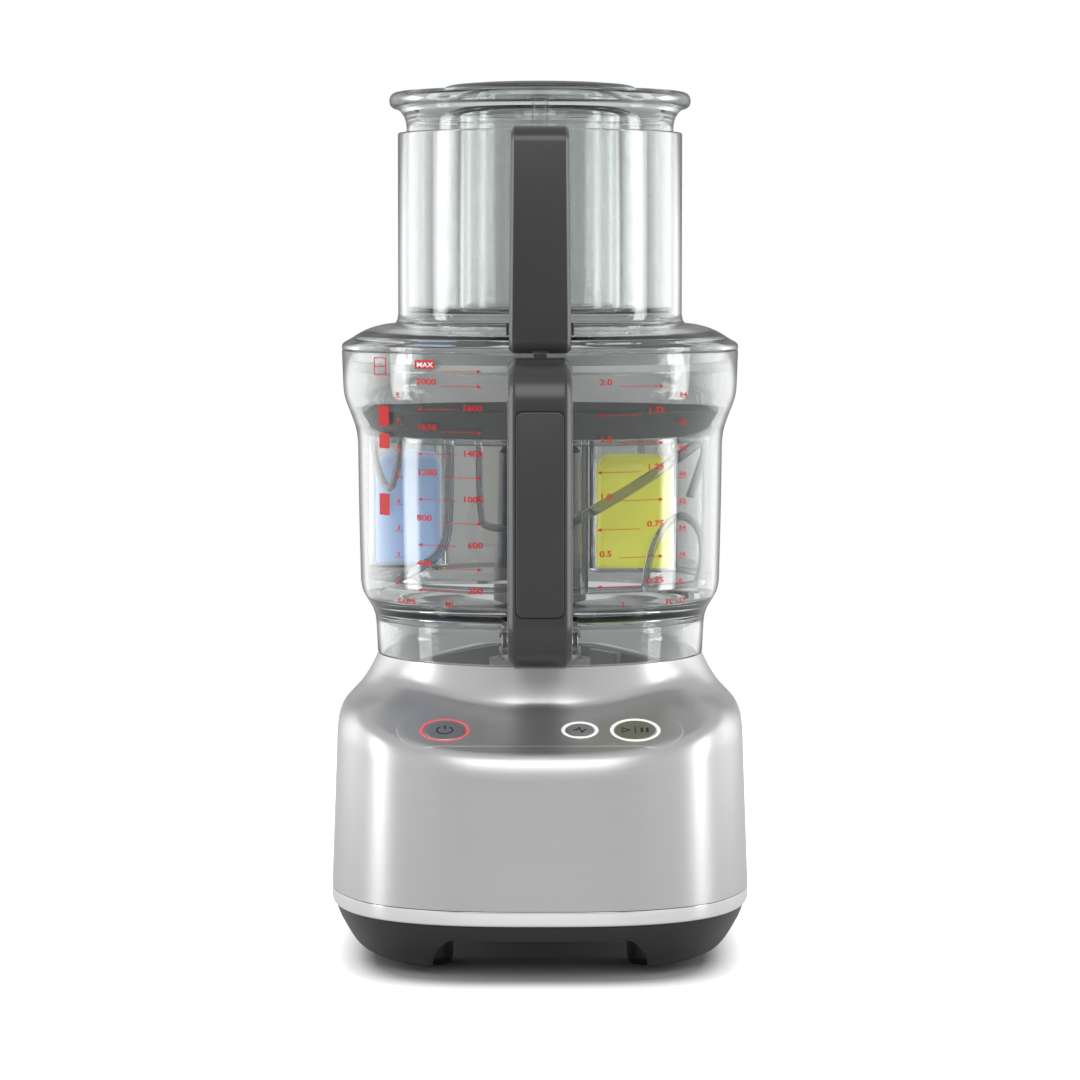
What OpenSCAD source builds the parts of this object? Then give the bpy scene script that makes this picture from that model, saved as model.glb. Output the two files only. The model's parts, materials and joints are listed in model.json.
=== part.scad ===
// Food processor: a rounded metal motor base, a clear processing bowl with a front handle,
// a lid with a wide feed chute, two nested pushers, a working blade and an accessory caddy.
// Origin: on the table, in the middle of the machine's outline. +Z up, -Y is the front with the
// handle. The pieces are drawn round the drive spindle, and then moved back by spindle_back.

/* [Base] */
// Width of the motor base, side to side
base_w = 195; // [190:1:200]
// Depth of the motor base, front to back
base_d = 216; // [210:1:220]
// How far the centre of the base lies in front of the spindle
base_ahead = 20; // [18:1:22]
// Wall thickness of the metal housing
shell_wall = 2.2; // [1.8:0.1:2.6]

/* [Bowl] */
// Wall thickness of the clear bowl
bowl_wall = 2.8; // [2.4:0.1:3.2]
// Width of the bowl handle
handle_w = 29; // [26:1:31]

/* [Lid and pushers] */
// Outer radius of the feed chute
chute_r = 67.4; // [66:0.1:68]
// How far the chute lies behind the spindle
chute_back = 6; // [5:0.5:7]
// Wall thickness of the clear lid and chute
lid_wall = 2.9; // [2.5:0.1:3.1]
// Width of the rod housing on the lid
housing_w = 28; // [26:1:29]

/* [Controls] */
// Length of the control panel
panel_l = 130; // [128:1:134]
// Width of the control panel
panel_w = 33; // [32:0.5:34]
// Distance of the two large buttons from the middle
big_button_x = 43; // [42:0.5:44]
// Distance of the pulse button from the middle
pulse_x = 18; // [17:0.5:20]

/* [Hidden] */

spindle_back = 17.05;      // how far the spindle stands behind the middle of the outline
gap = 0.3;                 // clearance between parts that don't touch
fine = 96;                 // facets of large round parts
medium = 48;               // facets of small round parts

// heights above the table
foot_h = 3;
skirt_low_z = 2.2;
arch_z = 19;
band_low_z = 26;
band_top_z = 33;
seat_z = 137;
bowl_low_z = seat_z + gap;
floor_z = 158;
bowl_top_z = 280.6;
handle_top_z = 279;
lid_low_z = 270.5;
chute_top_z = 383;
housing_low_z = 281;
pusher_low_z = 298;

// plan of the base: a superellipse
plan_power = 2.8;
neck_r = 77;
wall_flare = 2.5;          // how much the wall leans out from the shoulder to the band
neck_flat = 40;            // gap at which the shoulder becomes the full control ledge
side_gap = 18.5;           // gap at the sides, where there is no ledge
ledge_slope = 0.357;
ledge_y = -99.5;
ledge_z = 110.87;
ledge_tilt = atan(ledge_slope);

// working parts
shaft_r = 6;
tube_r = 16;
tube_top_z = 212;
hub_r = 22;
blade_r = 76;
bolt_at = 42;
button_depth = 5.6;
board_z = -12.2;           // control board's underside, along the panel's normal
board_t = 1.6;
plunger_y = -66;
plunger_r = 2.9;
big_r = 11.4;
small_r = 8.4;
leg_x = 50;
leg_front_y = -70;
leg_back_y = 28;

// ---------------------------------------------------------------- shapes shared by several parts

// points on an arc in 2D
function arc(c, r, a0, a1, n) = [for (i = [0:n]) let (a = a0 + (a1 - a0) * i / n) c + r * [cos(a), sin(a)]];

// a blend from 0 to 1 with soft ends
function soft(t) = let (u = min(1, max(0, t))) u * u * (3 - 2 * u);

// the lower of two values with a rounded corner between them
function soft_min(a, b, k) = abs(a - b) >= k ? min(a, b) : min(a, b) - pow(k - abs(a - b), 2) / (4 * k);

// a signed power, for superellipses
function spow(v, p) = sign(v) * pow(abs(v), p);

// point of the base plan at a parameter angle, drawn in by an inset
function plan_point(a, inset) =
  [(base_w / 2 - inset) * spow(cos(a), 2 / plan_power),
   -base_ahead + (base_d / 2 - inset) * spow(sin(a), 2 / plan_power)];

// the whole outline of the base plan
function plan_outline(inset, n) = [for (i = [0:n - 1]) plan_point(360 * i / n, inset)];

// height of the tilted control ledge, which rises towards the back
function ledge_height(y) = ledge_z + (y - ledge_y) * ledge_slope;

// control points of the housing's section, from the neck down to the band.
// p is the plan point in this direction and inset the distance inside the outer surface
function section_controls(p, inset) =
  let (
    r_out = norm(p), d = p / r_out, n_r = neck_r - inset,
    g = r_out - inset - wall_flare - n_r,
    w = soft((g - side_gap) / (neck_flat - side_gap)),
    mixed = function(narrow, wide) n_r + narrow * g * (1 - w) + wide * w,
    on_ledge = function(r, cap) soft_min(ledge_height(r * d[1]), cap, 4) - inset,
    r1 = mixed(0.14, 0.6), r2 = mixed(0.33, 3.5), r3 = mixed(0.46, 11),
    r4 = mixed(0.70, g - 9.5), r5 = mixed(0.93, g - 3),
    z5 = on_ledge(r5, 114))
  [[n_r, seat_z],
   [r1, on_ledge(r1, 127.2) + 4.3],
   [r2, on_ledge(r2, 126)],
   [r3, on_ledge(r3, 122.8)],
   [r4, on_ledge(r4, 118.5)],
   [r5, z5],
   [n_r + g - 0.3, z5 - 6.8],
   [n_r + g, z5 - 19],
   [r_out - inset, band_top_z]];

// a smooth curve that starts and ends on its control points
function smooth_curve(c, steps) =
  let (last = len(c) - 1)
  concat([for (i = [1:last - 1])
    let (a = i == 1 ? c[0] : (c[i - 1] + c[i]) / 2, b = i == last - 1 ? c[last] : (c[i] + c[i + 1]) / 2)
    for (s = [0:steps - 1])
      let (t = s / steps) pow(1 - t, 2) * a + 2 * t * (1 - t) * c[i] + t * t * b], [c[last]]);

// faces of a grid of points that closes on itself both ways: rings of n points each
function ring_faces(rings, n) = [for (k = [0:rings - 1], i = [0:n - 1])
  let (j = (i + 1) % n, m = (k + 1) % rings) [k * n + i, m * n + i, m * n + j, k * n + j]];

// a closed hollow wall from a list of rings, each a list of points
module ring_solid(rings) {
  n = len(rings[0]);
  polyhedron(points = [for (ring = rings) for (p = ring) p], faces = ring_faces(len(rings), n), convexity = 8);
}

// a round part from its half section
module turned(section, facets = fine) { rotate_extrude($fn = facets) polygon(section); }

// a pipe along Z
module pipe(r_out, r_in, z0, z1, facets = fine) {
  translate([0, 0, z0]) difference() {
    cylinder(r = r_out, h = z1 - z0, $fn = facets);
    translate([0, 0, -1]) cylinder(r = r_in, h = z1 - z0 + 2, $fn = facets);
  }
}

// a tube along a line of points: a ring of sides points at each, square to the line
module tube(path, r, sides = 8) {
  n = len(path);
  points = [for (i = [0:n - 1])
    let (step = path[min(n - 1, i + 1)] - path[max(0, i - 1)], t = step / norm(step),
      lean = abs(t[2]) > 0.9 ? [1, 0, 0] : [0, 0, 1],
      across = cross(t, lean) / norm(cross(t, lean)), up = cross(across, t))
    for (k = [0:sides - 1]) path[i] + r * (cos(360 * k / sides) * across + sin(360 * k / sides) * up)];
  walls = [for (i = [0:n - 2], k = [0:sides - 1], half = [0, 1])
    let (m = (k + 1) % sides, a = i * sides, b = a + sides)
      half == 0 ? [a + k, a + m, b + m] : [a + k, b + m, b + k]];
  ends = [[for (k = [sides - 1:-1:0]) k], [for (k = [0:sides - 1]) (n - 1) * sides + k]];
  polyhedron(points = points, faces = concat(walls, ends), convexity = 6);
}

// a round curve through a list of points, for wires
function rounded_path(pts, steps) =
  let (last = len(pts) - 1, at = function(i) pts[min(last, max(0, i))])
  concat([for (i = [0:last - 1], s = [0:steps - 1])
    let (t = s / steps, p0 = at(i - 1), p1 = at(i), p2 = at(i + 1), p3 = at(i + 2))
      0.5 * (2 * p1 + (p2 - p0) * t + (2 * p0 - 5 * p1 + 4 * p2 - p3) * t * t
        + (3 * p1 - p0 - 3 * p2 + p3) * t * t * t)], [pts[last]]);

// a compression spring along Z
module coil_spring(r, wire_r, z0, z1, turns) {
  per_turn = 10;
  n = turns * per_turn;
  tube([for (i = [0:n]) [r * cos(360 * i / per_turn), r * sin(360 * i / per_turn),
    z0 + wire_r + (z1 - z0 - 2 * wire_r) * i / n]], wire_r, 5);
}

// a plate with round ends, centred, its long side along X
module stadium(l, w, h) {
  linear_extrude(h) polygon(concat(
    arc([l / 2 - w / 2, 0], w / 2, -90, 90, 24), arc([-l / 2 + w / 2, 0], w / 2, 90, 270, 24)));
}

// a block with rounded upright edges, centred in plan
module soft_block(x, y, h, r) {
  linear_extrude(h) polygon(concat(
    arc([x / 2 - r, y / 2 - r], r, 0, 90, 6), arc([-x / 2 + r, y / 2 - r], r, 90, 180, 6),
    arc([-x / 2 + r, -y / 2 + r], r, 180, 270, 6), arc([x / 2 - r, -y / 2 + r], r, 270, 360, 6)));
}

// puts a child on the control ledge, with Z along the press direction, outwards
module on_ledge_at(x) {
  translate([0, ledge_y, ledge_z]) rotate([ledge_tilt, 0, 0]) translate([x, 0, 0]) children();
}

// repeats a child at the four corners of a square around the spindle
module at_bolts() { for (x = [-1, 1], y = [-1, 1]) translate([x * bolt_at, y * bolt_at, 0]) children(); }

// repeats a child at the four legs
module at_legs() { for (x = [-1, 1], y = [leg_front_y, leg_back_y]) translate([x * leg_x, y, 0]) children(); }

// extrudes a side view, drawn as [y, z], to a width across X
module side_view(w) { rotate([90, 0, 90]) translate([0, 0, -w / 2]) linear_extrude(w) children(); }

// ---------------------------------------------------------------- motor base

module base_shell() {
  n = 60;
  plan = [for (i = [0:n - 1]) plan_point(360 * i / n, 0)];
  outer = [for (p = plan) smooth_curve(section_controls(p, 0), 2)];
  inner = [for (p = plan) smooth_curve(section_controls(p, shell_wall), 2)];
  count = len(outer[0]);
  ring_of = function(curves, k) [for (i = [0:n - 1])
    let (d = plan[i] / norm(plan[i])) [d[0] * curves[i][k][0], d[1] * curves[i][k][0], curves[i][k][1]]];
  color("silver") difference() {
    ring_solid(concat([for (k = [0:count - 1]) ring_of(outer, k)],
                      [for (k = [count - 1:-1:0]) ring_of(inner, k)]));
    on_ledge_at(0) translate([0, 0, -12]) stadium(panel_l + 0.6, panel_w + 0.6, 24);
  }
}

module chrome_band() {
  n = 72;
  ring = function(inset, z) [for (p = plan_outline(inset, n)) [p[0], p[1], z]];
  color("gainsboro") ring_solid([
    ring(0.2, band_top_z - gap), ring(0, band_top_z - 2), ring(0.3, band_low_z + 3), ring(1.2, band_low_z),
    ring(4.5, band_low_z), ring(4.5, band_top_z - gap)]);
}

// how far the skirt is drawn in at a height
function skirt_inset(z) =
  let (t = (band_low_z - z) / (band_low_z - skirt_low_z)) 1.4 + 11 * pow(t, 1.25) + 9 * pow(t, 8);

// the skirt's lower edge: low at the four legs, an arch between them
function skirt_edge(p) =
  let (front = soft((65 - abs(p[0])) / 25), side = soft((68 - abs(p[1] + base_ahead)) / 26))
  skirt_low_z + (arch_z - skirt_low_z) * max(front, side);

module base_skirt() {
  n = 96;
  levels = 6;
  top = band_low_z - gap;
  plan = plan_outline(0, n);
  wall = 2.6;
  ring = function(k, inset) [for (i = [0:n - 1])
    let (z = top + (skirt_edge(plan[i]) - top) * k / levels, p = plan_point(360 * i / n, skirt_inset(z) + inset))
    [p[0], p[1], z]];
  color("dimgray") ring_solid(concat([for (k = [0:levels]) ring(k, 0)], [for (k = [levels:-1:0]) ring(k, wall)]));
}

module bottom_plate() {
  color("dimgray") difference() {
    union() {
      translate([0, 0, 19.2]) linear_extrude(2.4) polygon(plan_outline(6.6, 72));
      at_legs() translate([0, 0, foot_h]) cylinder(r = 10, h = 19.4 - foot_h, $fn = medium);
    }
    for (r = [16, 25, 34], a = [0:45:315]) rotate(a) translate([r, 0, 18])
      linear_extrude(5) square([5, r * 0.45], center = true);
    translate([0, 62, 18]) cylinder(r = 7, h = 5, $fn = medium);
    at_bolts() translate([0, 0, 18]) cylinder(r = 2.4, h = 5, $fn = medium);
  }
}

module feet() {
  color("black") at_legs() cylinder(r1 = 9, r2 = 9.6, h = foot_h, $fn = medium);
}

module base_screws() {
  color("silver") at_bolts() {
    translate([0, 0, 17]) cylinder(r = 4.2, h = 2.2, $fn = medium);
    translate([0, 0, 19.2]) cylinder(r = 2.2, h = 8.4, $fn = medium);
  }
}

module bowl_seat_deck() {
  color("gray") difference() {
    union() {
      translate([0, 0, 130]) cylinder(r = neck_r - shell_wall - 0.4, h = 3, $fn = fine);
      pipe(neck_r - shell_wall - 0.4, 71.5, 130, seat_z - 0.1);
      pipe(24, 20, 130, 138);
      for (a = [60:120:300]) rotate(a) translate([64, 0, 132]) soft_block(6, 16, 5, 1.5);
    }
    translate([0, 0, 120]) cylinder(r = 14, h = 20, $fn = fine);
    translate([0, plunger_y, 120]) cylinder(r = plunger_r + 0.4, h = 20, $fn = medium);
  }
}

module shaft_seal() { color("black") pipe(14, 6.6, 130, 135, medium); }

module cord_gland() {
  color("black") translate([0, 62, 0]) {
    pipe(6.9, 3.6, 14.2, 24.2, medium);
    pipe(9, 6.85, 16.6, 19.1, medium);
  }
}

module control_panel() {
  color("silver") on_ledge_at(0) difference() {
    union() {
      translate([0, 0, -2.6]) stadium(panel_l, panel_w, 2.9);
      // posts that carry the control board
      for (x = [-55, 0, 55], y = [-9, 9]) translate([x, y, board_z + board_t])
        cylinder(r = 1.4, h = -2.5 - board_z - board_t, $fn = 24);
    }
    for (x = [-big_button_x, big_button_x]) translate([x, 0, -5])
      cylinder(r = big_r + 0.1, h = 9, $fn = medium);
    translate([pulse_x, 0, -5]) cylinder(r = small_r + 0.1, h = 9, $fn = medium);
  }
}

module light_ring(r) { pipe(r, r - 1.5, -2.4, 0.55, medium); }

module power_ring() { color("red") on_ledge_at(-big_button_x) light_ring(big_r); }

module button_rings() {
  color("white") {
    on_ledge_at(pulse_x) light_ring(small_r);
    on_ledge_at(big_button_x) light_ring(big_r);
  }
}

// a button cap with a stem that reaches its switch
module button(r) {
  translate([0, 0, -2]) cylinder(r = r, h = 2.4, $fn = medium);
  translate([0, 0, -button_depth]) cylinder(r = 2.4, h = button_depth - 1.9, $fn = medium);
}

module power_button() { color("silver") on_ledge_at(-big_button_x) button(big_r - 1.75); }
module pulse_button() { color("silver") on_ledge_at(pulse_x) button(small_r - 1.75); }
module start_button() { color("silver") on_ledge_at(big_button_x) button(big_r - 1.75); }

module control_board() {
  color("green") on_ledge_at(0) translate([0, 0, board_z]) soft_block(118, 24, board_t, 2);
}

module touch_switches() {
  color("black") for (x = [-big_button_x, pulse_x, big_button_x])
    on_ledge_at(x) translate([0, 0, board_z + board_t]) {
      soft_block(6, 6, 2.6, 0.6);
      translate([0, 0, 2.6]) cylinder(r = 1.6, h = 1.1, $fn = 24);
    }
}

module power_board() {
  color("green") {
    translate([62, -72, 21.6]) cube([22, 1.6, 68.4]);
    translate([65, -82, 44]) cube([16, 9.9, 20]);
    translate([66, -78, 68]) cube([9, 5.9, 16]);
  }
}

module run_capacitor() {
  color("white") {
    translate([-68, -72, 21.6]) cylinder(r = 15, h = 58.4, $fn = medium);
    for (x = [-6, 6]) translate([-68 + x, -72, 80]) cylinder(r = 1.5, h = 8, $fn = 24);
  }
}

module interlock_switch() {
  color("black") {
    translate([-10, -73, 110]) cube([20, 14, 13]);
    translate([0, plunger_y, 123]) cylinder(r = 2, h = 2.4, $fn = 24);
    for (x = [-10, 7]) translate([x, -73, 123]) cube([3, 14, 7]);
  }
}

// leads from the cord inlet to the power board, and from there to the controls and the motor
module wiring_loom() {
  color("white") {
    tube(rounded_path([[0, 62, 25], [2, 64, 33], [38, 70, 37], [68, 52, 37], [77, 8, 37], [78, -44, 38],
      [77, -62, 46], [77, -66, 50], [77, -70, 50]], 4), 1.9);
    tube(rounded_path([[78, -72.6, 80], [78, -76, 80], [74, -83, 90], [62, -91, 94], [54, -95, 96.6]], 4), 1.4);
    tube(rounded_path([[66, -70, 46], [66, -66, 46], [58, -62, 42], [34, -62, 41], [26, -50, 41],
      [26, -41, 41]], 4), 1.4);
  }
}

// ---------------------------------------------------------------- motor

module lamination(inner_r) {
  difference() {
    polygon(concat(arc([44, 44], 8, 0, 90, 6), arc([-44, 44], 8, 90, 180, 6),
                   arc([-44, -44], 8, 180, 270, 6), arc([44, -44], 8, 270, 360, 6)));
    circle(r = inner_r, $fn = fine);
    for (x = [-1, 1], y = [-1, 1]) translate([x * bolt_at, y * bolt_at]) circle(r = 2.6, $fn = medium);
  }
}

module motor_stator() { color("dimgray") translate([0, 0, 48]) linear_extrude(46) lamination(30); }

module motor_windings() {
  color("orange") for (z = [41.8, 100.2])
    rotate_extrude($fn = fine) translate([37.5, z]) polygon(concat(
      arc([2, 0], 6.2, -90, 90, 10), arc([-2, 0], 6.2, 90, 270, 10)));
}

module bearing_bracket(plate_z, boss_z) {
  difference() {
    union() {
      translate([0, 0, plate_z]) linear_extrude(3) lamination(14.2);
      pipe(18, 14.2, min(plate_z, boss_z), max(plate_z + 3, boss_z + 9));
    }
    for (a = [0:90:270]) rotate(a) translate([0, 33, plate_z - 1]) cylinder(r = 9, h = 5, $fn = medium);
  }
}

module motor_upper_bracket() { color("silver") bearing_bracket(110, 110); }
module motor_lower_bracket() { color("silver") bearing_bracket(28, 25); }

module motor_bearings() {
  color("silver") for (z = [111, 26]) pipe(14.2, shaft_r + 0.05, z, z + 7, medium);
}

module motor_mounts() { color("black") at_bolts() pipe(7, 2.5, 21.6, 28, medium); }

module motor_bolts() {
  color("silver") at_bolts() {
    translate([0, 0, 31.1]) cylinder(r = 2.4, h = 82, $fn = medium);
    translate([0, 0, 113.1]) cylinder(r = 4.5, h = 3.5, $fn = 6);
  }
}

module motor_rotor() { color("silver") pipe(29.4, shaft_r + 0.02, 50, 92); }

module motor_shaft() {
  color("silver") translate([0, 0, 23.5]) cylinder(r = shaft_r, h = 200 - 23.5, $fn = medium);
}

module cooling_fan() {
  color("white") {
    pipe(11, shaft_r + 0.02, 94, 104, medium);
    for (a = [0:40:320]) rotate(a) translate([10.8, -0.8, 94.5]) rotate([12, 0, 0]) cube([16, 1.6, 8]);
  }
}

module drive_coupling() {
  color("dimgray") difference() {
    union() {
      translate([0, 0, 141]) cylinder(r = 11.2, h = 73, $fn = medium);
      translate([0, 0, 214]) cylinder(r = 9.6, h = 12, $fn = 6);
    }
    translate([0, 0, 140]) cylinder(r = shaft_r + 0.02, h = 60.2, $fn = medium);
  }
}

module switch_plunger() {
  color("red") {
    translate([0, plunger_y, 125.8]) cylinder(r = plunger_r, h = 11.2, $fn = medium);
  }
}

// ---------------------------------------------------------------- bowl

// outer wall of the bowl, bottom to top, as [radius, height]
bowl_outer = [[77.2, bowl_low_z], [77.8, 150], [78.2, 154.5], [79.4, 158.4], [82.6, 163.6], [84.4, 166.8],
  [85.2, 171], [86.0, 205], [86.4, 238], [87.2, 243.5], [89.6, 250.4], [91.6, 255.2], [92.9, 259.6],
  [93.3, 264], [93.9, bowl_top_z]];

// screws at the foot of the handle
screw_z = [146, 154];
screw_y = -82;

module bowl() {
  wall = bowl_wall;
  inner = [for (i = [len(bowl_outer) - 1:-1:0]) if (bowl_outer[i][1] > floor_z + 1) bowl_outer[i] - [wall, 0]];
  low_inner = [for (i = [0:1]) bowl_outer[i] - [wall, 0]];
  section = concat(bowl_outer, inner,
    [[74.5, floor_z + wall], [tube_r, floor_z + wall], [tube_r - 0.4, tube_top_z], [13, tube_top_z],
     [13, floor_z - 3], [tube_r, floor_z - 3], [tube_r, floor_z], [74, floor_z], [bowl_outer[1][0] - wall, floor_z - 4]],
    [bowl_outer[0] - [wall, 0]]);
  color("lightcyan", 0.4) difference() {
    union() {
      turned(section);
      // ears that the handle's foot is screwed between
      for (x = [-17.2, 14.8]) translate([x, -85, 141]) cube([2.4, 10.2, 17]);
    }
    // slot that the interlock rod reaches through
    translate([-4, -90, 130]) cube([8, 20, 21]);
    for (z = screw_z) translate([-20, screw_y, z]) rotate([0, 90, 0]) cylinder(r = 1.5, h = 40, $fn = 24);
  }
}

// side view of the handle, as [y, z]: top arm, upright, bottom arm
handle_front = -126;
handle_back = -112;
module handle_side() {
  polygon(concat(
    [[-88, handle_top_z]],
    arc([handle_front + 19, handle_top_z - 19], 19, 90, 180, 10),
    arc([handle_front + 22, 161.5], 22, 180, 264, 10),
    [[-92, 139.4], [-70, 139.4], [-70, 157], [-92, 159]],
    arc([handle_back + 12, 172], 12, -90, -180, 8),
    arc([handle_back + 9, 252], 9, 180, 90, 8),
    [[-88, 261]]));
}

// the interlock rod: a head under the lid, a square shaft, a thin pin for its spring, and a toe
rod_y = -116;
rod_pin_r = 1.3;
toe_z = 144;
pin_top_z = 182;
bulkhead_z = 151.6;
bulkhead_t = 2;

module bowl_handle() {
  color("dimgray") difference() {
    side_view(handle_w) handle_side();
    // the back of both arms follows the bowl
    turned(concat([[0, bowl_low_z - 2], [bowl_outer[0][0] + 0.05, bowl_low_z - 2]],
      [for (p = bowl_outer) p + [0.05, 0]], [[94, 290], [0, 290]]));
    // way of the head, the shaft and the toe
    side_view(9) polygon([[-99, 290], [-95.2, 290], [-95.2, 264.2], [-113.4, 264.2],
      [-113.4, bulkhead_z + bulkhead_t], [-121, bulkhead_z + bulkhead_t], [-121, 275.4], [-99, 275.4]]);
    side_view(9) polygon([[-118, toe_z + 2.1], [-115.3, toe_z - 0.4], [-60, toe_z - 0.4], [-60, bulkhead_z],
      [-118, bulkhead_z]]);
    translate([0, rod_y, bulkhead_z - 1]) cylinder(r = rod_pin_r + 0.3, h = bulkhead_t + 2, $fn = 24);
    // seat of the front grip
    translate([-11, handle_front - 1, 163.9]) cube([22, 3.3, 92.2]);
    for (x = [-1, 1], z = screw_z) translate([x * 9, screw_y, z]) rotate([0, x * 90, 0])
      cylinder(r = 1.5, h = 9, $fn = 24);
  }
}

module interlock_rod() {
  color("gray") {
    side_view(6) polygon([[-98.4, 280.6], [-95.8, 280.6], [-95.8, 265.2], [-114.6, 265.2], [-114.6, pin_top_z],
      [-120, pin_top_z], [-120, 271.4], [-98.4, 271.4]]);
    translate([0, rod_y, toe_z + 3]) cylinder(r = rod_pin_r, h = pin_top_z - toe_z - 2, $fn = 24);
    side_view(6) polygon([[-117.4, toe_z + 2.5], [-114.9, toe_z], [-69, toe_z], [-69, 137.5], [-63, 137.5],
      [-63, toe_z + 3.6], [-117.4, toe_z + 3.6]]);
  }
}

module handle_spring() {
  color("silver") translate([0, rod_y, 0])
    coil_spring(2.1, 0.35, bulkhead_z + bulkhead_t + 0.1, pin_top_z - 0.1, 8);
}

module handle_grip() {
  color("dimgray") translate([-10.7, handle_front - 0.5, 164.2]) cube([21.4, 2.8, 91.6]);
}

module handle_screws() {
  color("silver") for (x = [-1, 1], z = screw_z) translate([0, screw_y, z]) rotate([0, x * 90, 0]) {
    translate([0, 0, 17.2]) cylinder(r = 2.6, h = 1.3, $fn = 24);
    translate([0, 0, 9.5]) cylinder(r = 1.4, h = 8, $fn = 24);
  }
}

// ---------------------------------------------------------------- working blade

module blade_hub() {
  color("gray") difference() {
    turned([[0, 162], [hub_r, 162], [hub_r, 178], [20.4, 184], [19.4, 232], [16, 237], [0, 238]]);
    translate([0, 0, 161]) cylinder(r = tube_r + 1, h = 214 - 161, $fn = fine);
    translate([0, 0, 213]) cylinder(r = 10, h = 14, $fn = 6);
  }
}

// one swept cutting wing, seen from above
module wing() {
  polygon(concat(arc([34, -22], 46, 128, 38, 14), [[76, -2]], arc([38, -24], 39, 26, 112, 12)));
}

module s_blades() {
  color("silver") for (k = [0, 1]) rotate(180 * k) translate([0, 0, 164 + 7 * k])
    intersection() {
      linear_extrude(1.4) wing();
      pipe(blade_r, hub_r + 0.05, -1, 4);
    }
}

// ---------------------------------------------------------------- accessory caddy

caddy_r = 81.8;
caddy_t = 2;
ring_r = 81.2;
plate_z = 241.4;
blue_at = [-62, 0];
blue_size = [32, 38, 50];
lime_at = [43, -36];
lime_size = [35, 22, 51];
cover_z = 180.6;

// a band of even width along a line of points
function band(pts, w) =
  let (n = len(pts),
    dir = [for (i = [0:n - 1]) let (a = pts[max(0, i - 1)], b = pts[min(n - 1, i + 1)]) (b - a) / norm(b - a)],
    side = [for (d = dir) [-d[1], d[0]] * w / 2])
  concat([for (i = [0:n - 1]) pts[i] + side[i]], [for (i = [n - 1:-1:0]) pts[i] - side[i]]);

// a rib of even width along a smooth line
function rib(points, width) = band(smooth_curve(points, 3), width);

// keeps what a front view, drawn as [x, z], covers of the caddy's round wall
module caddy_wall() {
  intersection() {
    pipe(caddy_r, caddy_r - caddy_t, 171, plate_z);
    rotate([90, 0, 0]) linear_extrude(100) children();
  }
}

module caddy_bars() {
  polygon(rib([[-41, 243], [-41, 205], [-43, 192], [-52, 182], [-74, 171]], 5));
  polygon(rib([[-27.5, 243], [-27.5, 206], [-24, 200.5], [-8, 200.5]], 3.6));
  polygon(rib([[10, 202], [20, 206.5], [50, 223.5], [77, 241]], 5));
  polygon(rib([[73, 243], [77.5, 236], [73, 225], [68.5, 213]], 4));
  polygon(rib([[-77.5, 243], [-77, 230], [-69, 214], [-65, 226], [-63, 243]], 3.6));
  polygon(rib([[47.6, 171], [48.5, 190], [62, 207], [73, 200], [76.5, 184], [72, 171]], 3.8));
  polygon(rib([[20, 243], [20, 215], [20, 195], [20, 171]], 4));
}

// a pocket open at the top, around a cover
module pocket(at, size) {
  translate([at[0], at[1], cover_z - 2.1]) difference() {
    soft_block(size[0] + 5, size[1] + 5, plate_z - cover_z + 2.2, 7);
    translate([0, 0, 1.6]) soft_block(size[0] + 2, size[1] + 2, 80, 5.5);
  }
}

module storage_caddy() {
  color("lightcyan", 0.4) {
    difference() {
      translate([0, 0, plate_z]) cylinder(r = ring_r - 0.2, h = 2, $fn = fine);
      translate([0, 0, plate_z - 1]) cylinder(r = 27, h = 5, $fn = fine);
      translate([0, 0, plate_z - 1]) back_window();
      translate([blue_at[0], blue_at[1], plate_z - 1]) soft_block(blue_size[0] + 2, blue_size[1] + 2, 5, 5.5);
      translate([lime_at[0], lime_at[1], plate_z - 1]) soft_block(lime_size[0] + 2, lime_size[1] + 2, 5, 5.5);
    }
    intersection() {
      union() {
        pocket(blue_at, blue_size);
        pocket(lime_at, lime_size);
      }
      translate([0, 0, 170]) cylinder(r = caddy_r, h = 80, $fn = fine);
    }
    pipe(caddy_r, caddy_r - caddy_t, 171, 174);
    for (k = [0, 1]) rotate(180 * k) caddy_wall() caddy_bars();
    pipe(caddy_r, caddy_r - caddy_t, plate_z - 3, plate_z);
  }
}

// the open window at the back of the caddy's plate
module back_window() {
  linear_extrude(5) polygon(concat(arc([0, 0], 72, 35, 145, 16), arc([0, 0], 34, 145, 35, 10)));
}

module caddy_ring() {
  color("dimgray") turned([[ring_r, 241.6], [83.2, 241.6], [84.8, 247], [87.4, 253.7], [84.6, 253.7],
    [ring_r, 250]]);
}

// a cover for a stored cutting insert: a sleeve closed at the top and the sides
module blade_cover(size) {
  difference() {
    soft_block(size[0], size[1], size[2], 5);
    translate([0, 0, -1]) soft_block(size[0] - 4, size[1] - 4, size[2] - 1, 3.4);
  }
}

module blue_cover() { color("lightblue") translate([blue_at[0], blue_at[1], cover_z]) blade_cover(blue_size); }
module lime_cover() { color("yellowgreen") translate([lime_at[0], lime_at[1], cover_z]) blade_cover(lime_size); }

// a steel cutting insert in a plastic foot, kept inside its cover
module insert(size, teeth) {
  soft_block(size[0] - 6, size[1] - 6, 4, 2);
  for (i = [0:teeth - 1]) translate([-size[0] / 2 + 6 + i * (size[0] - 12) / (teeth - 1), 0, 3.9])
    translate([-0.5, -size[1] / 2 + 5, 0]) cube([1, size[1] - 10, size[2] - 12]);
}

module slicing_insert() { color("silver") translate([blue_at[0], blue_at[1], cover_z]) insert(blue_size, 3); }
module shredding_insert() { color("silver") translate([lime_at[0], lime_at[1], cover_z]) insert(lime_size, 5); }

// ---------------------------------------------------------------- lid and pushers

lid_skirt_r = 89.4;

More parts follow.
